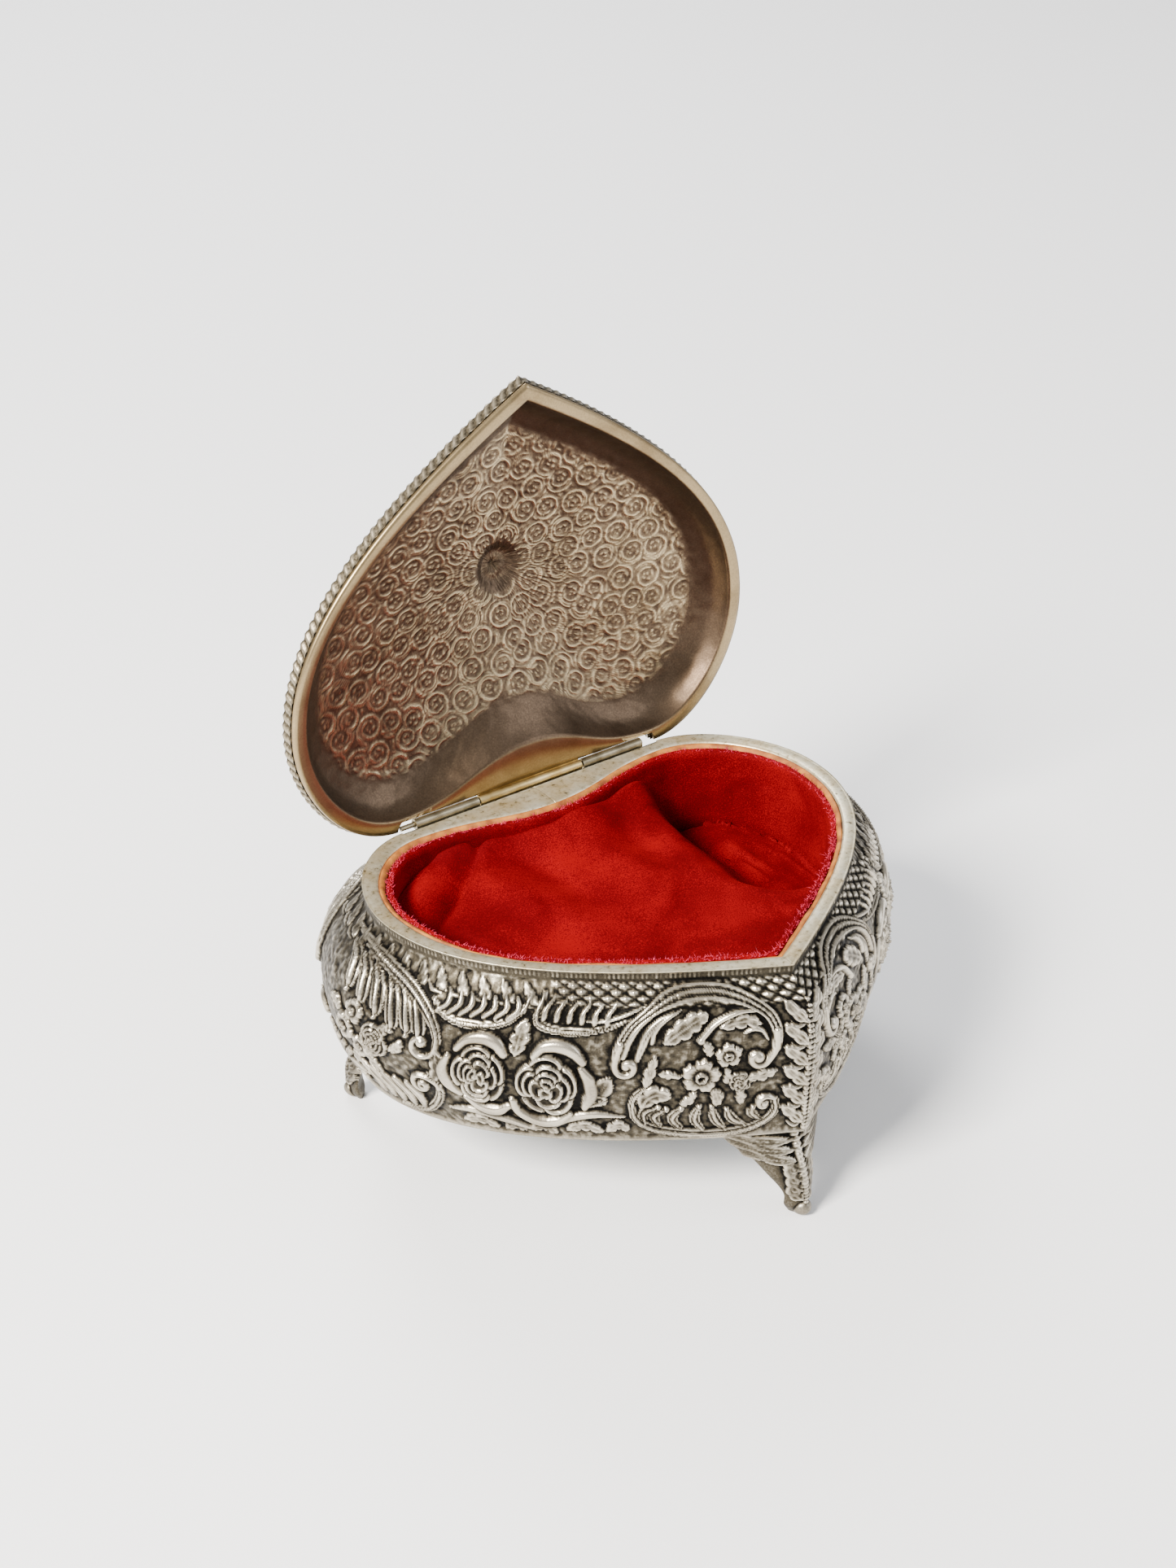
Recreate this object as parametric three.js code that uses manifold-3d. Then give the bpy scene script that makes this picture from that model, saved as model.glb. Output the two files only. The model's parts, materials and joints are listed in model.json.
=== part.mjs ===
// Heart-shaped wind-up music box: a cast casket on three feet with a hinged domed lid, a velvet
// lining and a small cylinder movement under its raised floor. Millimetres, +Z up, the heart's
// point towards -Y and the hinge at the back. The lid is modelled open, resting on its stop.
import * as THREE from 'three';
import { mergeVertices } from 'three/addons/utils/BufferGeometryUtils.js';
import ManifoldModule from 'manifold-3d';

const wasm = await ManifoldModule();
wasm.setup();

// ---------------------------------------------------------------- driving dimensions

// Plan of the lid, the master outline of the heart
const HALF_WIDTH = 50;
const POINT_Y = -47.2; // the heart's point
const WIDEST_Y = 8.3;
const LOBE_X = 29.5; // the rearmost spot of each lobe
const LOBE_Y = 34.5;
const NOTCH_Y = 33.2; // the back between the lobes
const FLANK = { x: 34.9, rise: 19.5, drop: 18.5 }; // handles of the almost straight flanks
const LOBE = { rise: 13.2, run: 10.5 }; // handles of the round lobes
const PLAN_STEPS = [12, 9, 8]; // flank, lobe and back of one half

// Heights above the table
const RIM_Z = 51;
const BASE_Z = 18; // lower edge of the casket
const BAND_H = 2.6; // upright band under the rim

// Casket casting
const RIM_INSET = 1.7; // the casket's rim lies inside the lid's edge
const RIM_WIDTH = 3;
const LEDGE_WIDTH = 8; // the rim's width at the notch, where the hinge sits
const WALL = 2.6;
const LUG_R = 3.6; // lugs inside the wall that take the bottom plate's screws
const LUG_H = 3;

// Fits
const GAP = 0.3; // between pieces that touch
const FIT = 0.1; // round a pin, shaft or screw

// Lid
const SKIRT_H = 2.7;
const DOME_RISE = 12.2;
const LID_WALL = 2.1;
const BOSS_R = 5.5; // round boss on the crown
const BOSS_RISE = 2.4;
const CROWN_Y = -8;
const LID_OPEN_DEG = 87;

// Hinge
const HINGE_Y = 33.7;
const HINGE_RISE = 0.3; // axis above the rim
const BARREL_R = 1;
const HINGE_PIN_R = 0.5;
const BARREL_LENGTH = 52;
const MIDDLE_KNUCKLE = 23.4;
const LEAF_T = 0.8;
const LEAF_WIDTH = 4;
const PIN_OVERHANG = 3;

// Feet
const FOOT_T = 3;
const FOOT_ARM = 14; // half width where a foot meets the casket
const TOE_ARM = 3;
const TOE_BALL_R = 1.7;
const LOBE_FOOT = { step: 5, angle: 50, arm: 9.5 }; // step along the lobe's outline

// Lining
const CARD_T = 0.8;
const VELVET_T = 1.5;
const LINING_DROP = 0.9; // lining's edge below the rim
const LINING_H = 8; // where the floor is high
const PLATEAU_DROP = 7.5; // from the rim to the velvet over the movement
const WELL_DEPTH = 12.5; // of the deep well, below that velvet
const WELL_EDGE = [[25, 40], [19, 8], [15, -8], [21, -14], [60, -18], [60, 40]]; // plan of the well

// Bottom plate and screws
const PLATE_T = 1.2;
const SCREW_R = 1.25;
const SCREW_HEAD_R = 2.3;
const SCREW_HEAD_H = 1;
const PLATE_SCREWS = [[0, POINT_Y + 5.6], [4.2 - HALF_WIDTH, 4], [HALF_WIDTH - 4.2, 4]];
const MOVEMENT_SCREWS = [[-8, 12], [-8, -21], [37, -21]]; // in the movement's own frame

// Movement. Its frame starts at the winding arbor, on the bottom plate, and is turned half round.
const MOVEMENT_X = 0;
const MOVEMENT_Y = 3;
const BED = { x0: -12.5, x1: 40.5, y0: -25, y1: 15.5, t: 2, corner: 2 };
const DRUM_Z = 10.6; // drum axis above the bottom plate
const SPRING = { r: 11, wall: 1, floor: 1.2, z0: 2.3, h: 10.2, strip: 0.35, turns: 7 };
const ARBOR_R = 1.5;
const WHEEL = { teeth: 48, r: 12.7, face: 1.4, rim: 13.6, t: 1.4, depth: 1.15 };
const PINION_TEETH = 12;
const DRUM = { x0: 16, x1: 33, r: 6.3, wall: 0.6, pin: 0.5, pinR: 0.2 };
const DRUM_ARBOR_R = 0.8;
const TRAIN_MODULE = 0.3;
const DRUM_GEAR_TEETH = 40;
const GOVERNOR_TEETH = 10;
const GEAR_FACE = 1;
const GOVERNOR_ARBOR_R = 0.5;
const WORM = { lead: 1.1, r: 1.35, core: 1.1, thread: 0.26, turns: 3 };
const WORM_WHEEL_TEETH = 24;
const FAN = { r: 3.7, h: 2.8, t: 0.4 };
const COMB = { teeth: 18, t: 0.6, toothW: 0.7, bass: 11.5, treble: 8, base: 5 };
const COMB_CLEAR = 0.3; // between the comb's tips and the drum's pins
const BRAKE = { x: 24, y: 12.2, tab: 7, r: 0.9, bar: 2, t: 0.8, restDeg: -11, touch: 0.1 };
const BRAKE_SLOT = { x: 17, y: 12.6, w: 5.2, l: 3 };

// Winding key
const KEY = { hubR: 3.2, hubTop: 16.4, hubLow: 8.6, wing: 10.5, wingLow: 3.2, wingTop: 11.5, t: 1.6 };

// ---------------------------------------------------------------- finishes

const finish = (color, roughness, metalness) =>
  new THREE.MeshStandardMaterial({ color, roughness, metalness });
const pewter = () => finish('#8e8a80', 0.42, 0.9);
const velvet = () => finish('#b00812', 0.95, 0);
const card = () => finish('#c98a4a', 0.9, 0);
const steel = () => finish('#a9abad', 0.3, 1);
const brass = () => finish('#b08d4a', 0.32, 1);
const zinc = () => finish('#9c9c98', 0.5, 0.85);

const box = new THREE.Group();
const lid = new THREE.Group();
const movement = new THREE.Group();
const foot = new THREE.Group();

function addPiece(parent, name, geometry, material) {
  const mesh = new THREE.Mesh(geometry, material);
  mesh.name = name;
  parent.add(mesh);
  return mesh;
}

// ---------------------------------------------------------------- cutting and joining

// A closed mesh as a solid: shared corners merged, triangles without area left out
function solid(geometry) {
  const bare = geometry.clone();
  bare.deleteAttribute('normal');
  bare.deleteAttribute('uv');
  const merged = mergeVertices(bare, 1e-4);
  const corners = merged.index.array;
  const triangles = [];
  for (let i = 0; i < corners.length; i += 3) {
    const [a, b, c] = corners.slice(i, i + 3);
    if (a !== b && b !== c && c !== a) triangles.push(a, b, c);
  }
  return new wasm.Manifold(new wasm.Mesh({
    numProp: 3,
    vertProperties: new Float32Array(merged.attributes.position.array),
    triVerts: new Uint32Array(triangles),
  }));
}

function surface(manifold) {
  const mesh = manifold.getMesh();
  const geometry = new THREE.BufferGeometry();
  geometry.setAttribute('position', new THREE.BufferAttribute(new Float32Array(mesh.vertProperties), 3));
  geometry.setIndex(new THREE.BufferAttribute(new Uint32Array(mesh.triVerts), 1));
  return geometry;
}

const join = (first, ...rest) =>
  surface(rest.reduce((whole, piece) => whole.add(solid(piece)), solid(first)));
const cut = (first, ...rest) =>
  surface(rest.reduce((whole, piece) => whole.subtract(solid(piece)), solid(first)));
const keepInside = (first, second) => surface(solid(first).intersect(solid(second)));

// ---------------------------------------------------------------- simple shapes

// Box given by its lowest and highest corners
function block(low, high) {
  const [sx, sy, sz] = high.map((value, i) => value - low[i]);
  return new THREE.BoxGeometry(sx, sy, sz)
    .translate((low[0] + high[0]) / 2, (low[1] + high[1]) / 2, (low[2] + high[2]) / 2);
}

// Upright cylinder between two heights
function post(x, y, z0, z1, r, sides = 16) {
  return new THREE.CylinderGeometry(r, r, z1 - z0, sides)
    .rotateX(Math.PI / 2)
    .translate(x, y, (z0 + z1) / 2);
}

// Cylinder along X between two stations
function shaft(x0, x1, y, z, r, sides = 16) {
  return new THREE.CylinderGeometry(r, r, x1 - x0, sides)
    .rotateZ(Math.PI / 2)
    .translate((x0 + x1) / 2, y, z);
}

// Flat shape pushed up from one height to another
function slab(shape, z0, z1) {
  return new THREE.ExtrudeGeometry(shape, { depth: z1 - z0, bevelEnabled: false, curveSegments: 7 })
    .translate(0, 0, z0);
}

// Flat shape in the YZ plane pushed along X
function slabAlongX(shape, x0, x1) {
  const length = x1 - x0;
  return new THREE.ExtrudeGeometry(shape, { depth: length, bevelEnabled: false, curveSegments: 8 })
    .rotateX(Math.PI / 2)
    .rotateZ(Math.PI / 2)
    .translate(x0, 0, 0);
}

function withHole(shape, x, y, r) {
  shape.holes.push(new THREE.Path().absarc(x, y, r, 0, 2 * Math.PI, true));
  return shape;
}

function rectangle(x0, y0, x1, y1, corner = 0) {
  const shape = new THREE.Shape();
  if (corner === 0) {
    return shape.moveTo(x0, y0).lineTo(x1, y0).lineTo(x1, y1).lineTo(x0, y1);
  }
  shape.moveTo(x0 + corner, y0).lineTo(x1 - corner, y0);
  shape.absarc(x1 - corner, y0 + corner, corner, -Math.PI / 2, 0);
  shape.absarc(x1 - corner, y1 - corner, corner, 0, Math.PI / 2);
  shape.absarc(x0 + corner, y1 - corner, corner, Math.PI / 2, Math.PI);
  shape.absarc(x0 + corner, y0 + corner, corner, Math.PI, Math.PI * 1.5);
  return shape;
}

// ---------------------------------------------------------------- heart outlines

const FLANK_ANGLE = Math.atan2(FLANK.rise, FLANK.x);

// Closed outline of the heart, moved outwards at its side, point, lobe backs and notch
function heart({ side, point = side, back = side, notch = side }) {
  const spread = (side + point) / 2;
  const tip = new THREE.Vector2(0, POINT_Y - point / Math.cos(FLANK_ANGLE));
  const flankHandle = new THREE.Vector2(
    FLANK.x + spread * Math.sin(FLANK_ANGLE),
    POINT_Y + FLANK.rise - spread * Math.cos(FLANK_ANGLE),
  );
  const widest = new THREE.Vector2(HALF_WIDTH + side, WIDEST_Y);
  const lobe = new THREE.Vector2(LOBE_X + side * 0.4, LOBE_Y + back);
  const notchMiddle = new THREE.Vector2(0, NOTCH_Y + notch);
  const curves = [
    new THREE.CubicBezierCurve(tip, flankHandle,
      new THREE.Vector2(widest.x, WIDEST_Y - FLANK.drop), widest),
    new THREE.CubicBezierCurve(widest, new THREE.Vector2(widest.x, WIDEST_Y + LOBE.rise + back * 0.4),
      new THREE.Vector2(lobe.x + LOBE.run + side * 0.3, lobe.y), lobe),
    new THREE.CubicBezierCurve(lobe, new THREE.Vector2(lobe.x * 0.55, lobe.y),
      new THREE.Vector2(lobe.x * 0.4, notchMiddle.y), notchMiddle),
  ];
  const half = curves.flatMap((curve, i) => curve.getPoints(PLAN_STEPS[i]).slice(0, -1));
  const mirrored = half.slice(1).reverse().map((p) => new THREE.Vector2(-p.x, p.y));
  return [...half, notchMiddle, ...mirrored];
}

// Closed skin through stacked outlines, listed up the outside and down the inside. With `capped`
// the first and last outlines have shrunk to a point; without it the last outline meets the first,
// which gives a ring.
function stack(levels, capped = false) {
  const rings = capped ? levels : [...levels, levels[0]];
  const around = rings[0].outline.length;
  const radii = rings.map((level, i) => new THREE.Vector2(1, i));
  const skin = new THREE.LatheGeometry(radii, around);
  const place = skin.attributes.position;
  for (let step = 0; step <= around; step += 1) {
    rings.forEach(({ outline, z }, i) => {
      const p = outline[step % around];
      place.setXYZ(step * rings.length + i, p.x, p.y, z);
    });
  }
  return skin;
}

// Upright prism with a heart-shaped plan
function heartPrism(offsets, z0, z1) {
  return slab(new THREE.Shape(heart(offsets)), z0, z1);
}

// Upright band between two hearts
function heartBand(outer, inner, z0, z1) {
  return stack([
    { outline: heart(outer), z: z0 },
    { outline: heart(outer), z: z1 },
    { outline: heart(inner), z: z1 },
    { outline: heart(inner), z: z0 },
  ]);
}

// ---------------------------------------------------------------- casket

// Outward bulge of the wall: share of the way down, then how far side, point, lobe and notch stand out
const WALL_H = RIM_Z - BASE_Z;
const BULGE = [
  [0, 0, 0, 0, 0],
  [BAND_H / WALL_H, 0.3, 0.3, 0.3, 0],
  [0.15, 3, 3.4, 3, 0.2],
  [0.26, 6, 4.1, 6, 0.6],
  [0.38, 7.9, 4.5, 7.9, 1.1],
  [0.515, 8.7, 4.4, 8.7, 1.4],
  [0.667, 8.3, 4.1, 8.3, 1.4],
  [0.818, 6.9, 3.7, 6.9, 1.1],
  [1, 4.4, 3.1, 4.4, 0.6],
];

// Outline of the casket's outer face at one entry of BULGE, moved by `inset` towards the middle
function casketOutline([, side, point, back, notch], inset = 0, ledge = 0) {
  const rim = -RIM_INSET - inset;
  return heart({
    side: rim + side, point: rim + point, back: rim + back, notch: rim + RIM_INSET + notch - ledge,
  });
}

const baseEntry = BULGE[BULGE.length - 1];
const rimEntry = BULGE[0];
const plateTop = BASE_Z + PLATE_T + GAP + 0.2;
const plateLow = plateTop - PLATE_T;
const lugLow = plateTop + GAP;
const lugTop = lugLow + LUG_H;
const ledgeExtra = LEDGE_WIDTH - RIM_WIDTH; // how much wider the rim is at the notch

// The wall behind that wider rim thins a little on its way down
const ledgeAt = (share) => ledgeExtra * (1 - 0.65 * share);

// Room at the back for the barrel and its leaves
function hingeChannel() {
  const half = BARREL_LENGTH / 2 + PIN_OVERHANG + GAP;
  const front = HINGE_Y - BARREL_R - GAP;
  return block([-half, front, RIM_Z - LEAF_WIDTH - 1], [half, front + 12, RIM_Z + SKIRT_H + 2]);
}

// A lug reaches from beyond the wall's middle to just past its screw
function lug([x, y]) {
  const out = new THREE.Vector2(x, y).setLength(LUG_R);
  return join(post(x, y, lugLow, lugTop, LUG_R), post(x + out.x, y + out.y, lugLow, lugTop, LUG_R));
}

function casketBody() {
  const outside = BULGE.map((entry) => ({ outline: casketOutline(entry), z: RIM_Z - WALL_H * entry[0] }));
  const inside = BULGE.slice(2).reverse().map((entry) => ({
    outline: casketOutline(entry, WALL, ledgeAt(entry[0])),
    z: Math.max(RIM_Z - WALL_H * entry[0] - 1, BASE_Z),
  }));
  const body = stack([
    ...outside,
    ...inside,
    { outline: casketOutline(rimEntry, RIM_WIDTH, ledgeExtra), z: RIM_Z - BAND_H - 0.6 },
    { outline: casketOutline(rimEntry, RIM_WIDTH, ledgeExtra), z: RIM_Z },
  ].reverse());
  const outerSkin = stack([
    { outline: casketOutline(baseEntry).map(() => new THREE.Vector2(0, 0)), z: BASE_Z },
    ...outside.slice().reverse(),
    { outline: outside[0].outline.map(() => new THREE.Vector2(0, 0)), z: RIM_Z },
  ], true);
  const lugs = PLATE_SCREWS.map((at) => keepInside(lug(at), outerSkin));
  const holes = PLATE_SCREWS.map(([x, y]) => post(x, y, BASE_Z, lugTop - 0.6, SCREW_R + FIT));
  return cut(join(body, ...lugs), hingeChannel(), ...holes);
}

addPiece(box, 'casket_body', casketBody(), pewter());

// ---------------------------------------------------------------- feet

// Foot in its own frame: X along the casket's edge, +Y outwards, top at z = 0. `sweep` gives how
// far the edge falls back at a distance from the middle, `splay` how far the toe steps out.
function footGeometry(arm, sweep, splay) {
  const height = BASE_Z - GAP;
  const steps = 8;
  const line = [-1, -0.66, -0.33, 0, 0.33, 0.66, 1].map((t) => t * arm);
  const inner = line.map((x) => new THREE.Vector2(x, -FOOT_T));
  const outer = line.map((x) => new THREE.Vector2(x, 0)).reverse();
  const geometry = new THREE.ExtrudeGeometry(new THREE.Shape([...inner, ...outer]), {
    depth: height, steps, bevelEnabled: false,
  });
  const place = geometry.attributes.position;
  for (let i = 0; i < place.count; i += 1) {
    const down = 1 - place.getZ(i) / height;
    const narrow = TOE_ARM / arm + (1 - TOE_ARM / arm) * (1 - down) ** 1.4;
    const x = place.getX(i) * narrow;
    const depth = place.getY(i) * (1 - 0.15 * down);
    const waist = -1.4 * Math.sin(Math.PI * down);
    place.setXYZ(i, x, depth - sweep(Math.abs(x)) + waist + splay * down ** 2, place.getZ(i) - height);
  }
  const ball = new THREE.SphereGeometry(TOE_BALL_R, 12, 8)
    .translate(0, splay - 0.3, TOE_BALL_R + 0.9 - height);
  return join(geometry, ball);
}

const edgeInset = 0.6; // a foot's face behind the casket's lower edge
const lowerEdge = casketOutline(baseEntry, edgeInset);
const lobeEdge = lowerEdge[PLAN_STEPS[0] + LOBE_FOOT.step];

function addFoot(name, x, y, degrees, geometry) {
  const piece = addPiece(foot, name, geometry, pewter());
  piece.position.set(x, y, BASE_Z - GAP);
  piece.rotation.z = THREE.MathUtils.degToRad(degrees);
}

const lobeCurve = (x) => x * x / 46;
addFoot('front_foot', 0, lowerEdge[0].y, 180,
  footGeometry(FOOT_ARM, (x) => x * Math.tan(FLANK_ANGLE), 1.5));
for (const [name, side] of [['left_foot', -1], ['right_foot', 1]]) {
  addFoot(name, side * lobeEdge.x, lobeEdge.y, -side * LOBE_FOOT.angle,
    footGeometry(LOBE_FOOT.arm, lobeCurve, 1.5));
}
box.add(foot);

// ---------------------------------------------------------------- lid

// The lid is drawn closed, then turned open about the hinge
lid.position.set(0, HINGE_Y, RIM_Z + HINGE_RISE);
lid.rotation.x = -THREE.MathUtils.degToRad(LID_OPEN_DEG);
const lidFrame = new THREE.Group();
lidFrame.position.set(0, -HINGE_Y, -RIM_Z - HINGE_RISE);
lid.add(lidFrame);

// An outline drawn in towards the crown: 0 keeps it, 1 shrinks it to a point
function towardsCrown(outline, share) {
  return outline.map((p) => new THREE.Vector2(p.x * (1 - share), CROWN_Y + (p.y - CROWN_Y) * (1 - share)));
}

function lidShell() {
  const low = RIM_Z + GAP;
  const flat = (inset, z, notch = inset) => ({
    outline: heart({ side: -inset, point: -inset, back: -inset, notch: -notch }), z,
  });
  const shoulder = heart({ side: -8, point: -8, back: -8, notch: -10 });
  const bossShare = 1 - BOSS_R / (HALF_WIDTH - 8);
  const ceiling = heart({ side: -9.6, point: -9.6, back: -9.6, notch: -12.4 });
  const ceilingShare = 1 - (BOSS_R - 0.8) / (HALF_WIDTH - 9.6);
  const dome = (share) => low + 8.3 + (DOME_RISE - 8.3) * (1 - (1 - share) ** 2);
  const above = (share, extra = 0) => ({ outline: towardsCrown(shoulder, share), z: dome(share) + extra });
  const below = (share, extra = 0) => ({
    outline: towardsCrown(ceiling, share), z: dome(share) - LID_WALL + extra,
  });
  const shell = stack([
    below(1, BOSS_RISE - 0.4), below(ceilingShare + 0.05, BOSS_RISE - 0.7), below(ceilingShare - 0.03),
    below(0.55), below(0.25), below(0),
    flat(7.6, low + 5, 11), flat(4.6, low + 3, 9), flat(3.4, low + 1, 8), flat(2.9, low, 7.6),
    flat(0, low), flat(0, low + SKIRT_H), flat(1, low + SKIRT_H + 0.9), flat(3.2, low + 5.6),
    above(0), above(0.25), above(0.55), above(bossShare - 0.06),
    above(bossShare + 0.02, BOSS_RISE - 0.6), above(1, BOSS_RISE),
  ], true);
  return cut(shell, hingeChannel(), lidLeafSeat());
}

const leafHalf = MIDDLE_KNUCKLE / 2;
const leafFront = HINGE_Y - BARREL_R - LEAF_WIDTH;

function lidLeafSeat() {
  return block([-leafHalf - GAP, leafFront - GAP, RIM_Z - 1],
    [leafHalf + GAP, HINGE_Y, RIM_Z + GAP + LEAF_T + GAP]);
}

addPiece(lidFrame, 'lid_shell', lidShell(), pewter());

// ---------------------------------------------------------------- hinge

const barrelZ = RIM_Z + HINGE_RISE;

const knuckle = (x0, x1) => shaft(x0, x1, HINGE_Y, barrelZ, BARREL_R, 24);

function pinBore(x0, x1) {
  return shaft(x0, x1, HINGE_Y, barrelZ, HINGE_PIN_R + FIT, 20);
}

function lidHingeLeaf() {
  const leaf = block([-leafHalf, leafFront, RIM_Z + GAP],
    [leafHalf, HINGE_Y, RIM_Z + GAP + LEAF_T]);
  return cut(join(knuckle(-leafHalf, leafHalf), leaf), pinBore(-leafHalf - 1, leafHalf + 1));
}

function bodyHingeLeaf() {
  const half = BARREL_LENGTH / 2;
  const inner = leafHalf + GAP;
  const front = HINGE_Y - BARREL_R;
  const low = RIM_Z - LEAF_WIDTH - 0.6;
  const leaf = block([-half, front, low], [half, front + LEAF_T, barrelZ - BARREL_R - GAP]);
  const ears = [-1, 1].map((side) => {
    const ends = [side * inner, side * half].sort((a, b) => a - b);
    return block([ends[0], front, barrelZ - BARREL_R - 1], [ends[1], front + LEAF_T, barrelZ]);
  });
  const rings = [knuckle(-half, -inner), knuckle(inner, half)];
  return cut(join(leaf, ...ears, ...rings), pinBore(-half - 1, half + 1));
}

addPiece(lidFrame, 'lid_hinge_leaf', lidHingeLeaf(), brass());
addPiece(box, 'body_hinge_leaf', bodyHingeLeaf(), steel());
addPiece(box, 'hinge_pin', shaft(-BARREL_LENGTH / 2 - PIN_OVERHANG, BARREL_LENGTH / 2 + 0.4,
  HINGE_Y, barrelZ, HINGE_PIN_R), steel());
box.add(lid);

// ---------------------------------------------------------------- lining

// Heart inside the casket's rim, moved in by `inset` from the rim's inner edge
function liningPlan(inset) {
  const at = -RIM_INSET - RIM_WIDTH - inset;
  return { side: at, point: at, back: at, notch: -LEDGE_WIDTH - inset };
}

const cardInset = GAP;
const velvetInset = cardInset + CARD_T + GAP;
const floorInset = velvetInset + VELVET_T + GAP;
const liningTop = RIM_Z - LINING_DROP;

const plateauZ = RIM_Z - PLATEAU_DROP;

// Plan of the deep well, its walls moved in by `inset`
function wellShape(inset) {
  const middle = new THREE.Vector2(34, 8);
  const points = WELL_EDGE.map(([x, y]) => {
    const p = new THREE.Vector2(x, y);
    return p.add(middle.clone().sub(p).setLength(inset));
  });
  return new THREE.Shape(points);
}

// Tray over the movement: a high floor with the well let into it
function tray(topZ, thickness, wellInset, inset) {
  const sheet = rectangle(-HALF_WIDTH, -HALF_WIDTH, HALF_WIDTH, HALF_WIDTH);
  const whole = join(slab(sheet, topZ - thickness, topZ),
    slab(wellShape(wellInset), topZ - WELL_DEPTH - thickness, topZ));
  const open = cut(whole,
    slab(wellShape(wellInset + thickness), topZ - WELL_DEPTH, topZ + 1));
  return keepInside(open, heartPrism(liningPlan(inset), BASE_Z, RIM_Z));
}

// Wall band that reaches down to the well's floor beside the well
function wallBand(inset, thickness, top) {
  const outer = liningPlan(inset);
  const inner = liningPlan(inset + thickness);
  const low = plateauZ - WELL_DEPTH - VELVET_T;
  const deep = keepInside(heartBand(outer, inner, low, top), slab(wellShape(0), low - 1, top + 1));
  return join(heartBand(outer, inner, liningTop - LINING_H, top), deep);
}

addPiece(box, 'wall_card', wallBand(cardInset, CARD_T, liningTop), card());
addPiece(box, 'wall_velvet', wallBand(velvetInset, VELVET_T, liningTop + 0.5), velvet());

const cardTop = plateauZ - VELVET_T - GAP;
addPiece(box, 'floor_card', tray(cardTop, CARD_T, 0, floorInset), card());
addPiece(box, 'floor_velvet', tray(plateauZ, VELVET_T, CARD_T + GAP, floorInset), velvet());

// ---------------------------------------------------------------- bottom plate and its screws

// A point of the movement's own frame in the casket's frame
const fromMovement = ([x, y]) => [MOVEMENT_X - x, MOVEMENT_Y - y];

// Slot for the brake's tab, in the movement's frame
function brakeSlot(z0, z1, turn = (x, y) => [x, y]) {
  const [ax, ay] = turn(BRAKE_SLOT.x - BRAKE_SLOT.l / 2, BRAKE_SLOT.y - BRAKE_SLOT.w / 2);
  const [bx, by] = turn(BRAKE_SLOT.x + BRAKE_SLOT.l / 2, BRAKE_SLOT.y + BRAKE_SLOT.w / 2);
  return block([Math.min(ax, bx), Math.min(ay, by), z0], [Math.max(ax, bx), Math.max(ay, by), z1]);
}

function bottomPlate() {
  const shape = new THREE.Shape(casketOutline(baseEntry, WALL + GAP, ledgeAt(1)));
  const holes = [...PLATE_SCREWS, ...MOVEMENT_SCREWS.map(fromMovement)];
  for (const [x, y] of holes) withHole(shape, x, y, SCREW_R + FIT);
  withHole(shape, MOVEMENT_X, MOVEMENT_Y, ARBOR_R + 1);
  const slot = brakeSlot(plateLow - 1, plateTop + 1, (x, y) => fromMovement([x, y]));
  return cut(slab(shape, plateLow, plateTop), slot);
}

addPiece(box, 'bottom_plate', bottomPlate(), zinc());

// Round-headed screw driven upwards, its head under the plate
function screw(length) {
  const head = plateLow - GAP;
  const profile = [[0, head - SCREW_HEAD_H], [SCREW_HEAD_R * 0.7, head - SCREW_HEAD_H],
    [SCREW_HEAD_R, head - SCREW_HEAD_H * 0.5], [SCREW_HEAD_R, head], [SCREW_R, head],
    [SCREW_R, head + length], [0, head + length]];
  const body = new THREE.LatheGeometry(profile.map(([r, z]) => new THREE.Vector2(r, z)), 14)
    .rotateX(Math.PI / 2);
  const slot = block([-SCREW_HEAD_R - 1, -0.3, head - SCREW_HEAD_H - 1],
    [SCREW_HEAD_R + 1, 0.3, head - SCREW_HEAD_H + 0.45]);
  return cut(body, slot);
}

function addScrew(name, [x, y], length) {
  addPiece(box, name, screw(length), steel()).position.set(x, y, 0);
}

PLATE_SCREWS.forEach((at, i) => addScrew(`plate_screw_${i + 1}`, at, PLATE_T + 2 * GAP + LUG_H - 1));
MOVEMENT_SCREWS.forEach((at, i) =>
  addScrew(`movement_screw_${i + 1}`, fromMovement(at), PLATE_T + 2 * GAP + BED.t - 0.3));

// ---------------------------------------------------------------- movement: fixed pieces

movement.position.set(MOVEMENT_X, MOVEMENT_Y, plateTop + GAP);
movement.rotation.z = Math.PI;
box.add(movement);

const bedTop = BED.t;
const standZ = bedTop + GAP;
const combTipY = -(DRUM.r + DRUM.pin + COMB_CLEAR);
const combRootY = combTipY - COMB.bass;
const combX0 = DRUM.x0;
const combX1 = DRUM.x1;
const combLow = DRUM_Z - COMB.t / 2;
const combScrews = [0.22, 0.78].map((share) =>
  [combX0 + share * (combX1 - combX0), combRootY - COMB.base / 2]);

function bedplate() {
  const shape = rectangle(BED.x0, BED.y0, BED.x1, BED.y1, BED.corner);
  withHole(shape, 0, 0, ARBOR_R + FIT);
  for (const [x, y] of MOVEMENT_SCREWS) withHole(shape, x, y, SCREW_R + FIT);
  const combBlock = block([combX0, combRootY - COMB.base, bedTop - 0.5],
    [combX1, combRootY - 0.4, combLow - GAP]);
  const holes = combScrews.map(([x, y]) => post(x, y, 4, DRUM_Z, 0.9 + FIT, 12));
  return cut(join(slab(shape, 0, bedTop), combBlock), brakeSlot(-1, bedTop + 1), ...holes);
}

addPiece(movement, 'bedplate', bedplate(), zinc());

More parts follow.
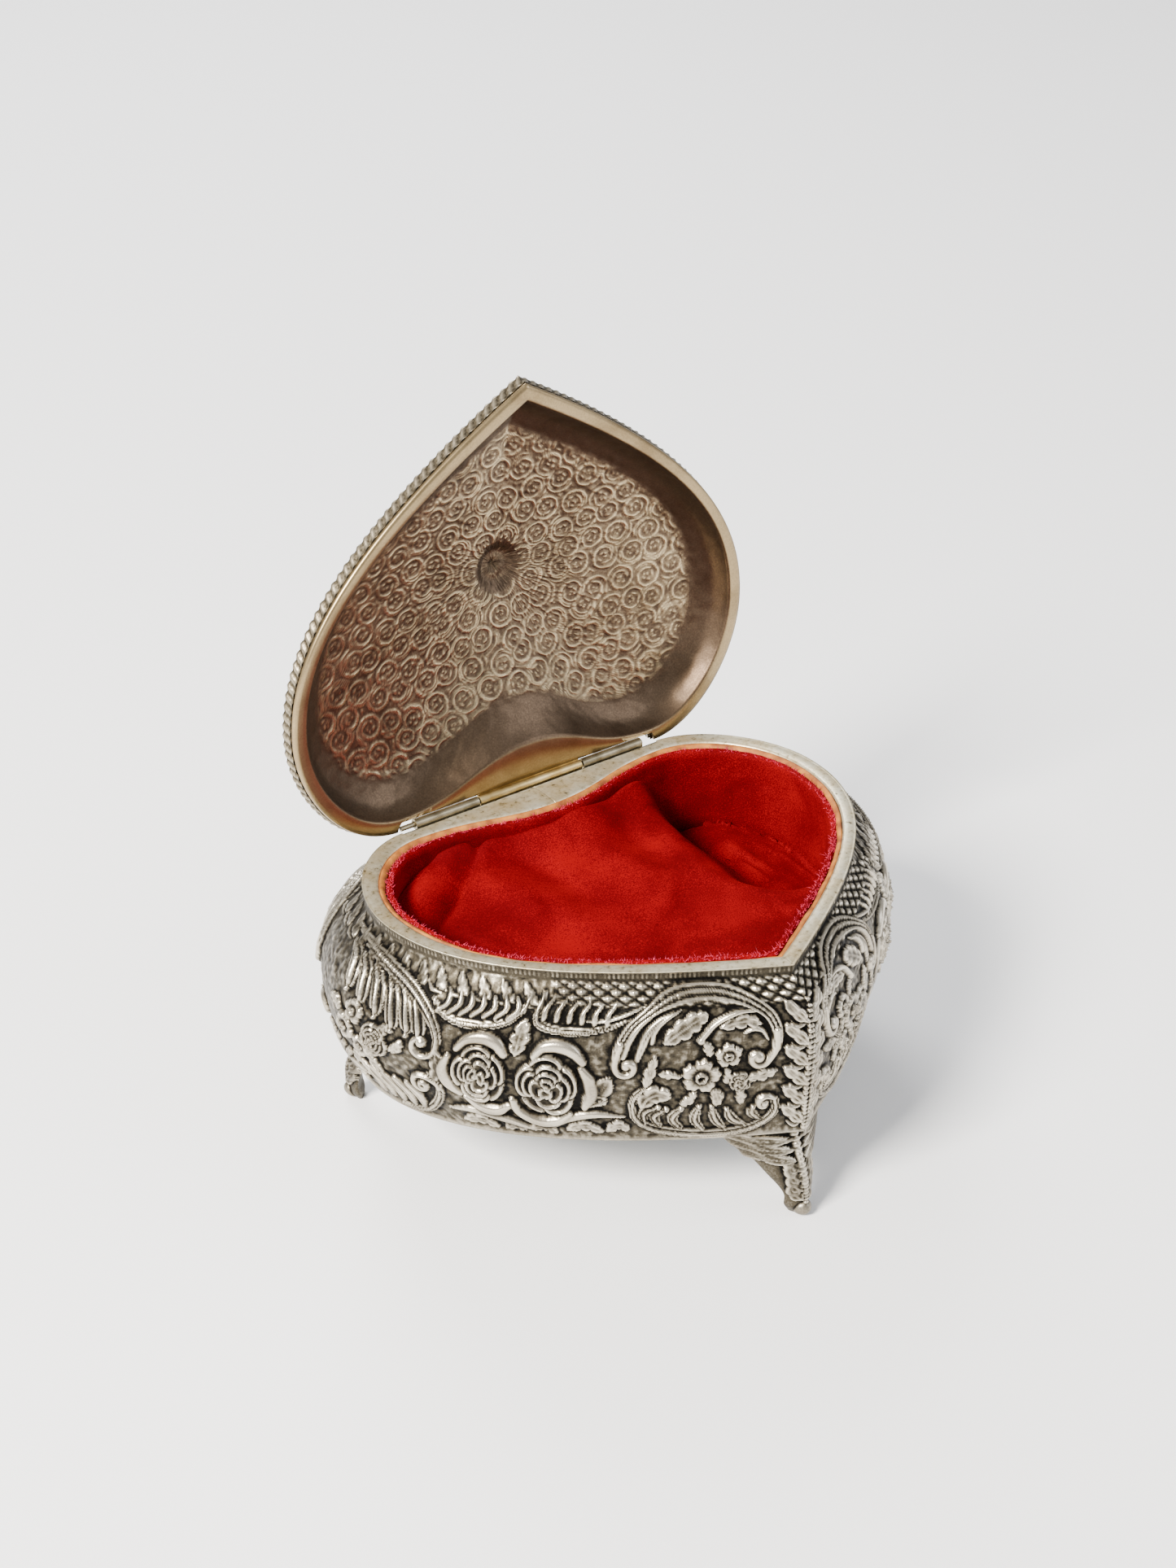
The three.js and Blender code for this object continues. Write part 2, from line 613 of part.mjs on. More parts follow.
function springHousing() {
  const { r, wall, floor, z0, h } = SPRING;
  const profile = [[ARBOR_R + FIT, z0], [r, z0], [r, z0 + h], [r - wall, z0 + h],
    [r - wall, z0 + floor], [ARBOR_R + FIT, z0 + floor], [ARBOR_R + FIT, z0]];
  return new THREE.LatheGeometry(profile.map(([x, z]) => new THREE.Vector2(x, z)), 36)
    .rotateX(Math.PI / 2);
}

addPiece(movement, 'spring_housing', springHousing(), zinc());

// Spiral strip, from beside the arbor to beside the housing's wall
function mainspring() {
  const { r, wall, floor, z0, h, strip, turns } = SPRING;
  const inner = ARBOR_R + 0.5;
  const outer = r - wall - strip - 0.3;
  const count = turns * 12;
  const spiral = (offset) => Array.from({ length: count + 1 }, (_, i) => {
    const radius = inner + (outer - inner) * i / count + offset;
    const angle = 2 * Math.PI * turns * i / count;
    return new THREE.Vector2(radius * Math.cos(angle), radius * Math.sin(angle));
  });
  const shape = new THREE.Shape([...spiral(strip), ...spiral(0).reverse()]);
  return slab(shape, z0 + floor + GAP, z0 + h - 0.8);
}

addPiece(movement, 'mainspring', mainspring(), steel());

function drumBracket() {
  const x0 = DRUM.x0 - 1.8;
  const plate = withHole(rectangle(-3.5, standZ, 3.5, DRUM_Z + 2.6, 1), 0, DRUM_Z, DRUM_ARBOR_R + FIT);
  const sole = block([x0, -3.5, standZ], [x0 + 1.2, 3.5, standZ + 1]);
  return join(slabAlongX(plate, x0, x0 + 1), sole);
}

addPiece(movement, 'drum_bracket', drumBracket(), zinc());

const pitchSum = TRAIN_MODULE * (DRUM_GEAR_TEETH + GOVERNOR_TEETH) / 2;
const governorY = pitchSum;
const drumGearX = DRUM.x1 + 0.4;
const wormWheelR = WORM.lead * WORM_WHEEL_TEETH / (2 * Math.PI);
const wormX = drumGearX + GEAR_FACE + 2.2;
const wormY = governorY + wormWheelR + WORM.r;
const frameInner = drumGearX + GEAR_FACE + 0.4;
const frameOuter = wormX + 1.3;
const frameEnd = frameOuter + 1;
const fanLow = DRUM_Z + wormWheelR + 0.9;
const fanHigh = fanLow + FAN.h;
const topArm = fanHigh + 0.6;

// Two bearing plates on one sole, with arms above and below the worm's arbor
function governorFrame() {
  const cheek = (x0, x1, high) => {
    const plate = rectangle(-2.6, standZ, governorY + 1.3, high, 0.8);
    withHole(plate, 0, DRUM_Z, DRUM_ARBOR_R + FIT);
    return slabAlongX(withHole(plate, governorY, DRUM_Z, GOVERNOR_ARBOR_R + FIT), x0, x1);
  };
  const sole = block([frameInner, -2.6, standZ], [frameEnd, wormY + 1.6, standZ + 1]);
  const mast = block([frameOuter, governorY - 1.5, DRUM_Z + 1.2],
    [frameEnd, governorY + 1.3, topArm + 0.8]);
  const arm = block([wormX - 1.2, governorY - 1.5, topArm], [frameEnd, wormY + 1.6, topArm + 0.8]);
  const whole = join(cheek(frameInner, frameInner + 0.6, DRUM_Z + 1.7),
    cheek(frameOuter, frameEnd, DRUM_Z + 1.7), sole, mast, arm);
  return cut(whole, post(wormX, wormY, standZ - 1, topArm + 2, GOVERNOR_ARBOR_R + FIT));
}

addPiece(movement, 'governor_frame', governorFrame(), brass());

// Steel comb, its teeth longer on the bass side
function comb() {
  const pitch = (combX1 - combX0) / COMB.teeth;
  const shape = new THREE.Shape();
  shape.moveTo(combX0, combRootY - COMB.base);
  shape.lineTo(combX1, combRootY - COMB.base);
  for (let i = COMB.teeth - 1; i >= 0; i -= 1) {
    const root = combTipY - COMB.treble - (COMB.bass - COMB.treble) * (1 - i / (COMB.teeth - 1));
    const x = combX0 + (i + 0.5) * pitch;
    shape.lineTo(x + COMB.toothW / 2, root);
    shape.lineTo(x + COMB.toothW / 2 * 0.7, combTipY);
    shape.lineTo(x - COMB.toothW / 2 * 0.7, combTipY);
    shape.lineTo(x - COMB.toothW / 2, root);
  }
  for (const [x, y] of combScrews) withHole(shape, x, y, 0.9 + FIT);
  return slab(shape, combLow, combLow + COMB.t);
}

addPiece(movement, 'comb', comb(), steel());

function combScrew([x, y]) {
  const top = combLow + COMB.t + GAP;
  return join(post(x, y, top - 4, top + 0.2, 0.9, 12), post(x, y, top, top + 1, 1.8, 16));
}

combScrews.forEach((at, i) => addPiece(movement, `comb_screw_${i + 1}`, combScrew(at), steel()));

// ---------------------------------------------------------------- movement: gears

// Wheel outline with straight-sided teeth on a pitch circle
function gearShape(teeth, pitchR, addendum, dedendum, { tip = 0.2, root = 0.5 } = {}) {
  const step = 2 * Math.PI / teeth;
  const points = [];
  for (let i = 0; i < teeth; i += 1) {
    const corners = [[-root, -dedendum], [-tip, addendum], [tip, addendum], [root, -dedendum]];
    for (const [share, height] of corners) {
      const angle = i * step + share * step / 2;
      const r = pitchR + height;
      points.push(new THREE.Vector2(r * Math.cos(angle), r * Math.sin(angle)));
    }
  }
  return new THREE.Shape(points);
}

// A gear shape with its bore, standing across the X axis
function gearAlongX(shape, bore, x0, x1, y, z, turn = 0) {
  return slabAlongX(withHole(shape, 0, 0, bore), 0, x1 - x0)
    .rotateX(turn)
    .translate(x0, y, z);
}

const wheelPitch = 2 * Math.PI * WHEEL.r / WHEEL.teeth;
const pinionR = wheelPitch * PINION_TEETH / (2 * Math.PI);
const wheelTeethZ = DRUM_Z + pinionR; // height of the pitch plane
const wheelLow = wheelTeethZ + WHEEL.depth * 0.6;
const wheelTop = wheelLow + WHEEL.t;

// Flat wheel whose teeth hang from its rim
function greatWheel() {
  const disc = withHole(new THREE.Shape().absarc(0, 0, WHEEL.rim, 0, 2 * Math.PI), 0, 0, ARBOR_R + FIT);
  const step = 2 * Math.PI / WHEEL.teeth;
  const half = wheelPitch / 2;
  const teeth = Array.from({ length: WHEEL.teeth }, (_, i) => {
    const profile = new THREE.Shape([
      new THREE.Vector2(-half * 0.52, wheelLow + 0.2), new THREE.Vector2(-half * 0.2, wheelLow - WHEEL.depth),
      new THREE.Vector2(half * 0.2, wheelLow - WHEEL.depth), new THREE.Vector2(half * 0.52, wheelLow + 0.2),
    ]);
    return slabAlongX(profile, WHEEL.r - WHEEL.face / 2, WHEEL.r + WHEEL.face / 2)
      .rotateZ((i + 0.5) * step);
  });
  return join(slab(disc, wheelLow, wheelTop), ...teeth);
}

addPiece(movement, 'great_wheel', greatWheel(), brass());

const keyHubTop = KEY.hubTop - plateTop - GAP;
const keyHubLow = KEY.hubLow - plateTop - GAP;
addPiece(movement, 'winding_arbor', post(0, 0, keyHubLow + 1.5, wheelTop + 1, ARBOR_R, 24), steel());

// Butterfly key: a socketed hub with two flat wings
function windingKey() {
  const hub = post(0, 0, keyHubLow, keyHubTop, KEY.hubR, 20);
  const low = KEY.wingLow - plateTop - GAP;
  const high = KEY.wingTop - plateTop - GAP;
  const middle = (low + high) / 2;
  const r = (high - low) / 2;
  const wings = new THREE.Shape().absarc(KEY.wing - r, middle, r, -Math.PI / 2, Math.PI / 2)
    .absarc(-KEY.wing + r, middle, r, Math.PI / 2, Math.PI * 1.5);
  const plate = new THREE.ExtrudeGeometry(wings, { depth: KEY.t, bevelEnabled: false, curveSegments: 10 })
    .rotateX(Math.PI / 2)
    .translate(0, KEY.t / 2, 0);
  return cut(join(hub, plate), post(0, 0, keyHubLow + 1.5 - GAP, keyHubTop + 1, ARBOR_R + FIT, 24));
}

addPiece(movement, 'winding_key', windingKey(), steel());

const drumArborX0 = SPRING.r + 0.5;
addPiece(movement, 'drum_arbor', shaft(drumArborX0, frameEnd + 0.3, 0, DRUM_Z, DRUM_ARBOR_R), steel());

const pinionX0 = WHEEL.r - WHEEL.face / 2;
addPiece(movement, 'drum_pinion',
  gearAlongX(gearShape(PINION_TEETH, pinionR, 0.5, 0.62, { tip: 0.22, root: 0.52 }),
    DRUM_ARBOR_R + FIT, pinionX0, pinionX0 + WHEEL.face, 0, DRUM_Z, Math.PI / 2), brass());

// Hollow drum with end walls, its pins set in tracks under the comb's teeth
function drum() {
  const { x0, x1, r, wall, pin, pinR } = DRUM;
  const bore = DRUM_ARBOR_R + FIT;
  const profile = [[bore, x0], [r, x0], [r, x1], [r - wall, x1], [r - wall, x0 + 1], [bore, x0 + 1],
    [bore, x0]];
  const shell = new THREE.LatheGeometry(profile.map(([a, b]) => new THREE.Vector2(a, b)), 32)
    .rotateZ(-Math.PI / 2).translate(0, 0, DRUM_Z);
  const pitch = (x1 - x0) / COMB.teeth;
  const pins = [];
  for (let track = 0; track < COMB.teeth; track += 1) {
    for (let note = 0; note < 2; note += 1) {
      const angle = 2 * Math.PI * ((track * 7 + note * 17) % 36 + 0.5) / 36;
      pins.push(new THREE.CylinderGeometry(pinR * 0.6, pinR, pin + 0.2, 4)
        .translate(0, r + pin / 2 - 0.1, 0)
        .rotateX(angle)
        .translate(x0 + (track + 0.5) * pitch, 0, DRUM_Z));
    }
  }
  return join(shell, ...pins);
}

addPiece(movement, 'drum', drum(), brass());
addPiece(movement, 'drum_gear',
  gearAlongX(gearShape(DRUM_GEAR_TEETH, TRAIN_MODULE * DRUM_GEAR_TEETH / 2, 0.26, 0.36),
    DRUM_ARBOR_R + FIT, drumGearX, drumGearX + GEAR_FACE, 0, DRUM_Z), brass());

// Arbor with its pinion cut from one bar
function governorArbor() {
  const pinion = slabAlongX(
    gearShape(GOVERNOR_TEETH, TRAIN_MODULE * GOVERNOR_TEETH / 2, 0.26, 0.36), 0, GEAR_FACE)
    .rotateX(Math.PI / GOVERNOR_TEETH)
    .translate(drumGearX, governorY, DRUM_Z);
  return join(shaft(drumGearX - 0.2, frameEnd + 0.3, governorY, DRUM_Z, GOVERNOR_ARBOR_R, 12), pinion);
}

addPiece(movement, 'governor_arbor', governorArbor(), steel());
addPiece(movement, 'worm_wheel',
  gearAlongX(gearShape(WORM_WHEEL_TEETH, wormWheelR, 0.3, 0.42, { tip: 0.18, root: 0.46 }),
    GOVERNOR_ARBOR_R + FIT, wormX - 0.45, wormX + 0.45, governorY, DRUM_Z,
    Math.PI / WORM_WHEEL_TEETH), brass());

// Screw line of the worm's thread
class WormThread extends THREE.Curve {
  getPoint(t, target = new THREE.Vector3()) {
    const turn = (t - 0.5) * WORM.turns;
    const angle = 2 * Math.PI * turn - Math.PI / 2;
    return target.set(wormX + WORM.r * Math.cos(angle), wormY + WORM.r * Math.sin(angle),
      DRUM_Z + WORM.lead * turn);
  }
}

function worm() {
  const section = new THREE.Shape().absarc(0, 0, WORM.thread, 0, 2 * Math.PI);
  const thread = new THREE.ExtrudeGeometry(section, {
    steps: WORM.turns * 10, bevelEnabled: false, extrudePath: new WormThread(), curveSegments: 3,
  });
  const half = WORM.lead * WORM.turns / 2 + 0.5;
  return join(post(wormX, wormY, DRUM_Z - half, DRUM_Z + half, WORM.core, 16),
    post(wormX, wormY, standZ + 0.2, topArm + 1, GOVERNOR_ARBOR_R, 12), thread);
}

addPiece(movement, 'worm', worm(), steel());

// Air brake: a hub with two blades
function fan() {
  const blade = block([wormX - FAN.t / 2, wormY - FAN.r, fanLow],
    [wormX + FAN.t / 2, wormY + FAN.r, fanHigh]);
  return cut(join(post(wormX, wormY, fanLow, fanHigh, 1.1, 12), blade),
    post(wormX, wormY, fanLow - 1, fanHigh + 1, GOVERNOR_ARBOR_R + FIT, 12));
}

addPiece(movement, 'fan', fan(), brass());

// ---------------------------------------------------------------- brake

const leverLow = standZ + GAP;
const leverTop = leverLow + BRAKE.t;

addPiece(movement, 'brake_pivot',
  join(post(BRAKE.x, BRAKE.y, standZ, leverTop + 0.5, BRAKE.r),
    post(BRAKE.x, BRAKE.y, leverTop + GAP, leverTop + GAP + 0.6, BRAKE.r + 0.9)), steel());

// Flat lever about its pivot: a finger that can swing up to the fan, a tab down through the base
function brakeLever() {
  const half = BRAKE.bar / 2;
  const reach = Math.hypot(wormX - BRAKE.x, wormY - BRAKE.y) - FAN.r - BRAKE.touch;
  const bar = block([-BRAKE.tab - 0.6, -half, leverLow], [reach, half, leverTop]);
  const eye = post(0, 0, leverLow, leverTop, BRAKE.r + 1.2, 20);
  const finger = block([reach - BRAKE.t, -half, leverLow], [reach, half, fanHigh - 0.4]);
  const tab = block([-BRAKE.tab - 0.6, -half, plateLow - plateTop - GAP - 2.6],
    [-BRAKE.tab + 0.6, half, leverTop]);
  return cut(join(bar, eye, finger, tab), post(0, 0, 0, leverTop + 1, BRAKE.r + FIT));
}

const lever = addPiece(movement, 'brake_lever', brakeLever(), steel());
lever.position.set(BRAKE.x, BRAKE.y, 0);
lever.rotation.z = THREE.MathUtils.degToRad(BRAKE.restDeg);

// ---------------------------------------------------------------- frame

// The origin is under the middle of the whole box, on the table
const whole = new THREE.Group();
whole.add(box);
whole.updateMatrixWorld(true);
const extent = new THREE.Box3().setFromObject(whole, true);
box.position.set(-(extent.min.x + extent.max.x) / 2, -(extent.min.y + extent.max.y) / 2, -extent.min.z);
whole.updateMatrixWorld(true);

export default whole;
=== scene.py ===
# %% [markdown]
# # A heart-shaped wind-up music box
#
# The box is a small casket cast in white metal, silver plated and then darkened in its recesses, so
# that only the high spots of the relief stay bright. Its domed lid stands open on the hinge at the
# back, and the inside is lined with red velvet. The mechanical model is loaded first as a fixed
# frame. Everything made here is laid over it, in metres, in the same place.

# %% Load the frame
import json
import math

import bpy
import numpy as np
from mathutils import Matrix, Vector


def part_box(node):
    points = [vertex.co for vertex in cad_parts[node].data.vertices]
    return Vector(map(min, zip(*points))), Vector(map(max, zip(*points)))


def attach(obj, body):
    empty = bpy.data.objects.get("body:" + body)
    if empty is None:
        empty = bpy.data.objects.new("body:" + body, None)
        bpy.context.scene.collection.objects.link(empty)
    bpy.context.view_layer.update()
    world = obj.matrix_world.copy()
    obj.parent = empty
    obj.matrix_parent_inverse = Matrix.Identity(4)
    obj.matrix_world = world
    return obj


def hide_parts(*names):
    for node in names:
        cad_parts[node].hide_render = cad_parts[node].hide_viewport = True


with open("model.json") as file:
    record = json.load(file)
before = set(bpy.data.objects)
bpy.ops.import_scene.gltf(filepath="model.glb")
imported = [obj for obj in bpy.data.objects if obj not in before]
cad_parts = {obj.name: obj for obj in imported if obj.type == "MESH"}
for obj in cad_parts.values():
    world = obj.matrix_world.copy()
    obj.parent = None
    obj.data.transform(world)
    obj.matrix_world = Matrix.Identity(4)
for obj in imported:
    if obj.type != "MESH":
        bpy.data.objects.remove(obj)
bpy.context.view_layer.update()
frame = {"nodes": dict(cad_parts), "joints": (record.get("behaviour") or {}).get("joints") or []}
MM = 0.001
rng = np.random.default_rng(7)
print("pieces in the frame:", len(frame["nodes"]))

# %% [markdown]
# ## Camera
#
# The box is seen from the front left and from above, low enough to look into the open lid. A camera
# matrix is built from three directions: right, up and back. The small roll and shift keep the box
# where it stands in the picture.

# %% Camera
AZIMUTH, ELEVATION, ROLL = (math.radians(a) for a in (-35.23, 31.02, -1.3))
CAMERA_PLACE = Vector((-231.6, -316.1, 286.8)) * MM

back = Vector((math.sin(AZIMUTH) * math.cos(ELEVATION), -math.cos(AZIMUTH) * math.cos(ELEVATION),
               math.sin(ELEVATION)))
level_right = Vector((math.cos(AZIMUTH), math.sin(AZIMUTH), 0))
level_up = back.cross(level_right)
right = level_right * math.cos(ROLL) + level_up * math.sin(ROLL)
up = level_up * math.cos(ROLL) - level_right * math.sin(ROLL)

camera_data = bpy.data.cameras.new("camera")
camera_data.lens = 58.1
camera_data.sensor_width = 36
camera_data.shift_x = -0.011
camera_data.shift_y = 0.049
camera_data.clip_start = 0.01
camera = bpy.data.objects.new("camera", camera_data)
bpy.context.scene.collection.objects.link(camera)
camera.matrix_world = Matrix((right, up, back)).transposed().to_4x4()
camera.location = CAMERA_PLACE
bpy.context.scene.camera = camera
print("camera", [round(v, 3) for v in camera.location])

# %% [markdown]
# ## Nodes and colours
#
# A finish is a small network of shader nodes. One function adds a node with its settings and its
# links, and one turns a colour written as on a paint chart into the linear values that Blender
# works in.

# %% Helpers for finishes
def linear(hex_code):
    """An sRGB hex colour as linear RGBA."""
    channels = [int(hex_code[i:i + 2], 16) / 255 for i in (0, 2, 4)]
    return [c / 12.92 if c <= 0.04045 else ((c + 0.055) / 1.055) ** 2.4 for c in channels] + [1.0]


def add(material, kind, settings=None, **inputs):
    """Adds a node. Settings are its own properties; inputs are values or the sockets that feed it."""
    tree = material.node_tree
    node = tree.nodes.new(kind)
    for name, value in (settings or {}).items():
        setattr(node, name, value)
    for name, value in inputs.items():
        key = int(name[1:]) if name[0] == "i" and name[1:].isdigit() else name.replace("_", " ")
        socket = node.inputs[key]
        if isinstance(value, bpy.types.NodeSocket):
            tree.links.new(value, socket)
        else:
            socket.default_value = value
    return node


def new_finish(name):
    """An empty material, ready for nodes."""
    material = bpy.data.materials.new(name)
    material.use_nodes = True
    material.node_tree.nodes.clear()
    return material


def ramp(material, source, stops):
    """Colour ramp from (place, hex) stops."""
    node = add(material, "ShaderNodeValToRGB", Fac=source)
    elements = node.color_ramp.elements
    while len(elements) > 1:
        elements.remove(elements[-1])
    elements[0].position, elements[0].color = stops[0][0], linear(stops[0][1])
    for place, colour in stops[1:]:
        elements.new(place).color = linear(colour)
    return node.outputs["Color"]


def put_out(material, shader):
    """Joins the shader to the material's output."""
    add(material, "ShaderNodeOutputMaterial", Surface=shader.outputs[0])
    return material


print("helpers ready; white is", linear("ffffff"))

# %% [markdown]
# ## The finishes
#
# Antiqued silver plate is the main one. The cast ground is almost black-brown, the slopes are warm
# grey, and the crests are rubbed back to silver. A painted picture of the tarnish would have to be
# laid out anew for every piece. The height of the relief is known already, so the meshes carry it
# in an attribute called "crest", 0 in a recess and 1 on a high spot, and the finish reads its
# colour and gloss from that. Metals keep the default IOR, since their reflection comes from the
# base colour.

# %% Antiqued silver
# Cast grit is about 0.15 mm; it is drawn near 0.35 mm so that it still shows from half a metre.
GRIT = 1 / (0.35 * MM)


def antiqued_silver(name, dark, middle, bright, rough, grit_depth=0.05):
    """Darkened silver plate: colour and gloss follow the crests of the relief."""
    m = new_finish(name)
    place = add(m, "ShaderNodeTexCoord").outputs["Object"]
    crest = add(m, "ShaderNodeAttribute", {"attribute_name": "crest"}).outputs["Fac"]
    grit = add(m, "ShaderNodeTexNoise", Vector=place, Scale=GRIT, Detail=3.0, Roughness=0.6)
    cloud = add(m, "ShaderNodeTexNoise", Vector=place, Scale=1 / (9 * MM), Detail=4.0)
    worn = add(m, "ShaderNodeMath", {"operation": "MULTIPLY_ADD"}, i0=grit.outputs["Fac"], i1=0.34,
               i2=crest)
    shifted = add(m, "ShaderNodeMath", {"operation": "SUBTRACT"}, i0=worn.outputs[0], i1=0.17)
    colour = ramp(m, shifted.outputs[0], [(0.04, dark), (0.34, middle), (0.9, bright)])
    warm = add(m, "ShaderNodeAttribute", {"attribute_name": "warm"}).outputs["Fac"]
    colour = add(m, "ShaderNodeMix", {"data_type": "RGBA", "blend_type": "MULTIPLY"},
                 Factor=warm, i6=colour, i7=linear("dcbf7a")).outputs["Result"]
    patch = add(m, "ShaderNodeMapRange", {"clamp": True}, Value=cloud.outputs["Fac"],
                From_Min=0.48, From_Max=0.72, To_Min=0.0, To_Max=0.45)
    stained = add(m, "ShaderNodeMix", {"data_type": "RGBA", "blend_type": "MULTIPLY"},
                  Factor=patch.outputs[0], i6=colour, i7=linear("8a7a62"))
    gloss = add(m, "ShaderNodeMapRange", {"clamp": True}, Value=shifted.outputs[0],
                To_Min=rough[0], To_Max=rough[1])
    bump = add(m, "ShaderNodeBump", Height=grit.outputs["Fac"], Strength=0.5,
               Distance=grit_depth * MM)
    shader = add(m, "ShaderNodeBsdfPrincipled", Base_Color=stained.outputs["Result"], Metallic=0.92,
                 Roughness=gloss.outputs[0], Normal=bump.outputs["Normal"])
    return put_out(m, shader)


CASKET_SILVER = antiqued_silver("antiqued_silver_plate", "0b0907", "4a4438", "c2b9a7",
                                rough=(0.58, 0.25))
LID_INNER_SILVER = antiqued_silver("warm_silver_plate", "1c1612", "5e5044", "c2b496",
                                   rough=(0.46, 0.24), grit_depth=0.03)
print("silver:", CASKET_SILVER.name, LID_INNER_SILVER.name)

# %% [markdown]
# ## The rim's plate and the velvet
#
# The rim is the same plate, but handled every day: polished through to a cream grey, with dark pits
# where the casting was porous. Velvet is a woven ground with a dense upright pile. It is dark where
# one looks into the pile and lights up where one looks across it. A coat of real fibres would cost
# millions of faces, so a sheen layer over a deep red gives that light edge instead.

# %% Worn rim and velvet
def worn_rim():
    """Rim of the casting: cream-grey where the plate is polished through, with dark pits."""
    m = new_finish("worn_rim_plate")
    place = add(m, "ShaderNodeTexCoord").outputs["Object"]
    pits = add(m, "ShaderNodeTexNoise", Vector=place, Scale=1 / (0.9 * MM), Detail=5.0, Roughness=0.62)
    cloud = add(m, "ShaderNodeTexNoise", Vector=place, Scale=1 / (5 * MM), Detail=3.0)
    colour = ramp(m, pits.outputs["Fac"], [(0.3, "57503f"), (0.36, "b3a88c"), (0.48, "cfc7ad"),
                                           (0.7, "dcd6c2")])
    warm = add(m, "ShaderNodeMapRange", {"clamp": True}, Value=cloud.outputs["Fac"],
               From_Min=0.4, From_Max=0.7, To_Min=0.0, To_Max=0.5)
    tint = add(m, "ShaderNodeMix", {"data_type": "RGBA", "blend_type": "MULTIPLY"},
               Factor=warm.outputs[0], i6=colour, i7=linear("d3b878"))
    bump = add(m, "ShaderNodeBump", Height=pits.outputs["Fac"], Strength=0.4, Distance=0.1 * MM)
    shader = add(m, "ShaderNodeBsdfPrincipled", Base_Color=tint.outputs["Result"], Metallic=0.75,
                 Roughness=0.42, Normal=bump.outputs["Normal"])
    return put_out(m, shader)


def velvet():
    """Silk-pile velvet: deep red face on, and a lighter sheen where the pile is seen from the side."""
    m = new_finish("red_silk_velvet")
    place = add(m, "ShaderNodeTexCoord").outputs["Object"]
    pile = add(m, "ShaderNodeTexNoise", Vector=place, Scale=1 / (0.22 * MM), Detail=2.0)
    brushed = add(m, "ShaderNodeTexNoise", Vector=place, Scale=1 / (14 * MM), Detail=2.0,
                  Distortion=0.3)
    turned = add(m, "ShaderNodeMapping", Vector=place, Rotation=(0, 0, math.radians(24)))
    rows = add(m, "ShaderNodeTexWave", {"bands_direction": "Y"}, Vector=turned.outputs[0],
               Scale=1 / (5.5 * MM), Distortion=1.2, Detail=1.0)
    shade = add(m, "ShaderNodeMath", {"operation": "MULTIPLY_ADD"}, i0=brushed.outputs["Fac"],
                i1=0.75, i2=pile.outputs["Fac"])
    colour = ramp(m, shade.outputs[0], [(0.35, "2c0004"), (0.9, "5e0006"), (1.35, "7c0008")])
    height = add(m, "ShaderNodeMath", {"operation": "MULTIPLY_ADD"}, i0=rows.outputs["Fac"],
                 i1=0.35, i2=pile.outputs["Fac"])
    bump = add(m, "ShaderNodeBump", Height=height.outputs[0], Strength=0.6, Distance=0.18 * MM)
    shader = add(m, "ShaderNodeBsdfPrincipled", Base_Color=colour, Roughness=0.85,
                 Normal=bump.outputs["Normal"])
    shader.inputs["Specular IOR Level"].default_value = 0.05
    shader.inputs["Sheen Weight"].default_value = 0.1
    shader.inputs["Sheen Roughness"].default_value = 0.38
    shader.inputs["Sheen Tint"].default_value = linear("ff0a14")
    return put_out(m, shader)


RIM_PLATE = worn_rim()
VELVET = velvet()
print("rim and lining:", RIM_PLATE.name, VELVET.name)

# %% [markdown]
# ## The plainer finishes
#
# Glue, cut pile, hinge and clockwork metals are each one tone that varies a little: brushed or
# plated metal with soft patches of handling, or matt card and pile. They differ in colour,
# roughness and metal, so one function makes them all from two close tones.

# %% Glue, cut pile and the working metals
def plain_finish(name, hex_code, other, size, rough, metallic, depth=0.02):
    """A finish with two close tones in soft patches and a fine tooth."""
    m = new_finish(name)
    place = add(m, "ShaderNodeTexCoord").outputs["Object"]
    cloud = add(m, "ShaderNodeTexNoise", Vector=place, Scale=1 / (size * MM), Detail=4.0)
    tooth = add(m, "ShaderNodeTexNoise", Vector=place, Scale=1 / (0.3 * MM), Detail=2.0)
    colour = ramp(m, cloud.outputs["Fac"], [(0.35, hex_code), (0.68, other)])
    bump = add(m, "ShaderNodeBump", Height=tooth.outputs["Fac"], Strength=0.3, Distance=depth * MM)
    shader = add(m, "ShaderNodeBsdfPrincipled", Base_Color=colour, Metallic=metallic,
                 Roughness=rough, Normal=bump.outputs["Normal"])
    return put_out(m, shader)


# The fringe's light pink is painted sheen: the pile's own red, lightened as if lit from the side.
PILE_FRINGE_PAINTED_SHEEN = plain_finish("velvet_cut_edge_painted_sheen", "e0305a", "b0002a", 1.5, 0.9, 0.0)
GLUED_CARD = plain_finish("amber_glue", "7a3c0c", "b87428", 2.5, 0.7, 0.0, 0.1)
HINGE_BRASS = plain_finish("worn_brass", "b59a62", "d9c28c", 3.0, 0.38, 1.0)
HINGE_STEEL = plain_finish("worn_nickel", "746a54", "a89e84", 3.0, 0.38, 1.0)
NICKEL = plain_finish("nickel_plate", "b9b7b0", "d8d6cf", 4.0, 0.27, 1.0)
ZINC_PLATE = plain_finish("zinc_plated_sheet", "8f918e", "b5b6b2", 5.0, 0.45, 1.0)
CLOCK_BRASS = plain_finish("satin_brass", "b38f4c", "cfae6c", 4.0, 0.3, 1.0)
BLUED_STEEL = plain_finish("blued_steel", "4c5058", "6f747c", 4.0, 0.3, 1.0)
print("finishes:", len(bpy.data.materials))

# %% [markdown]
# ## Floor and light
#
# A wide pale floor and three large soft lamps, as in a product studio. A picture of a room could
# light the box as well, but lamps are easier to place. Metal only looks like metal when it has
# something to mirror, so the lamps differ in strength and the space between them stays darker.

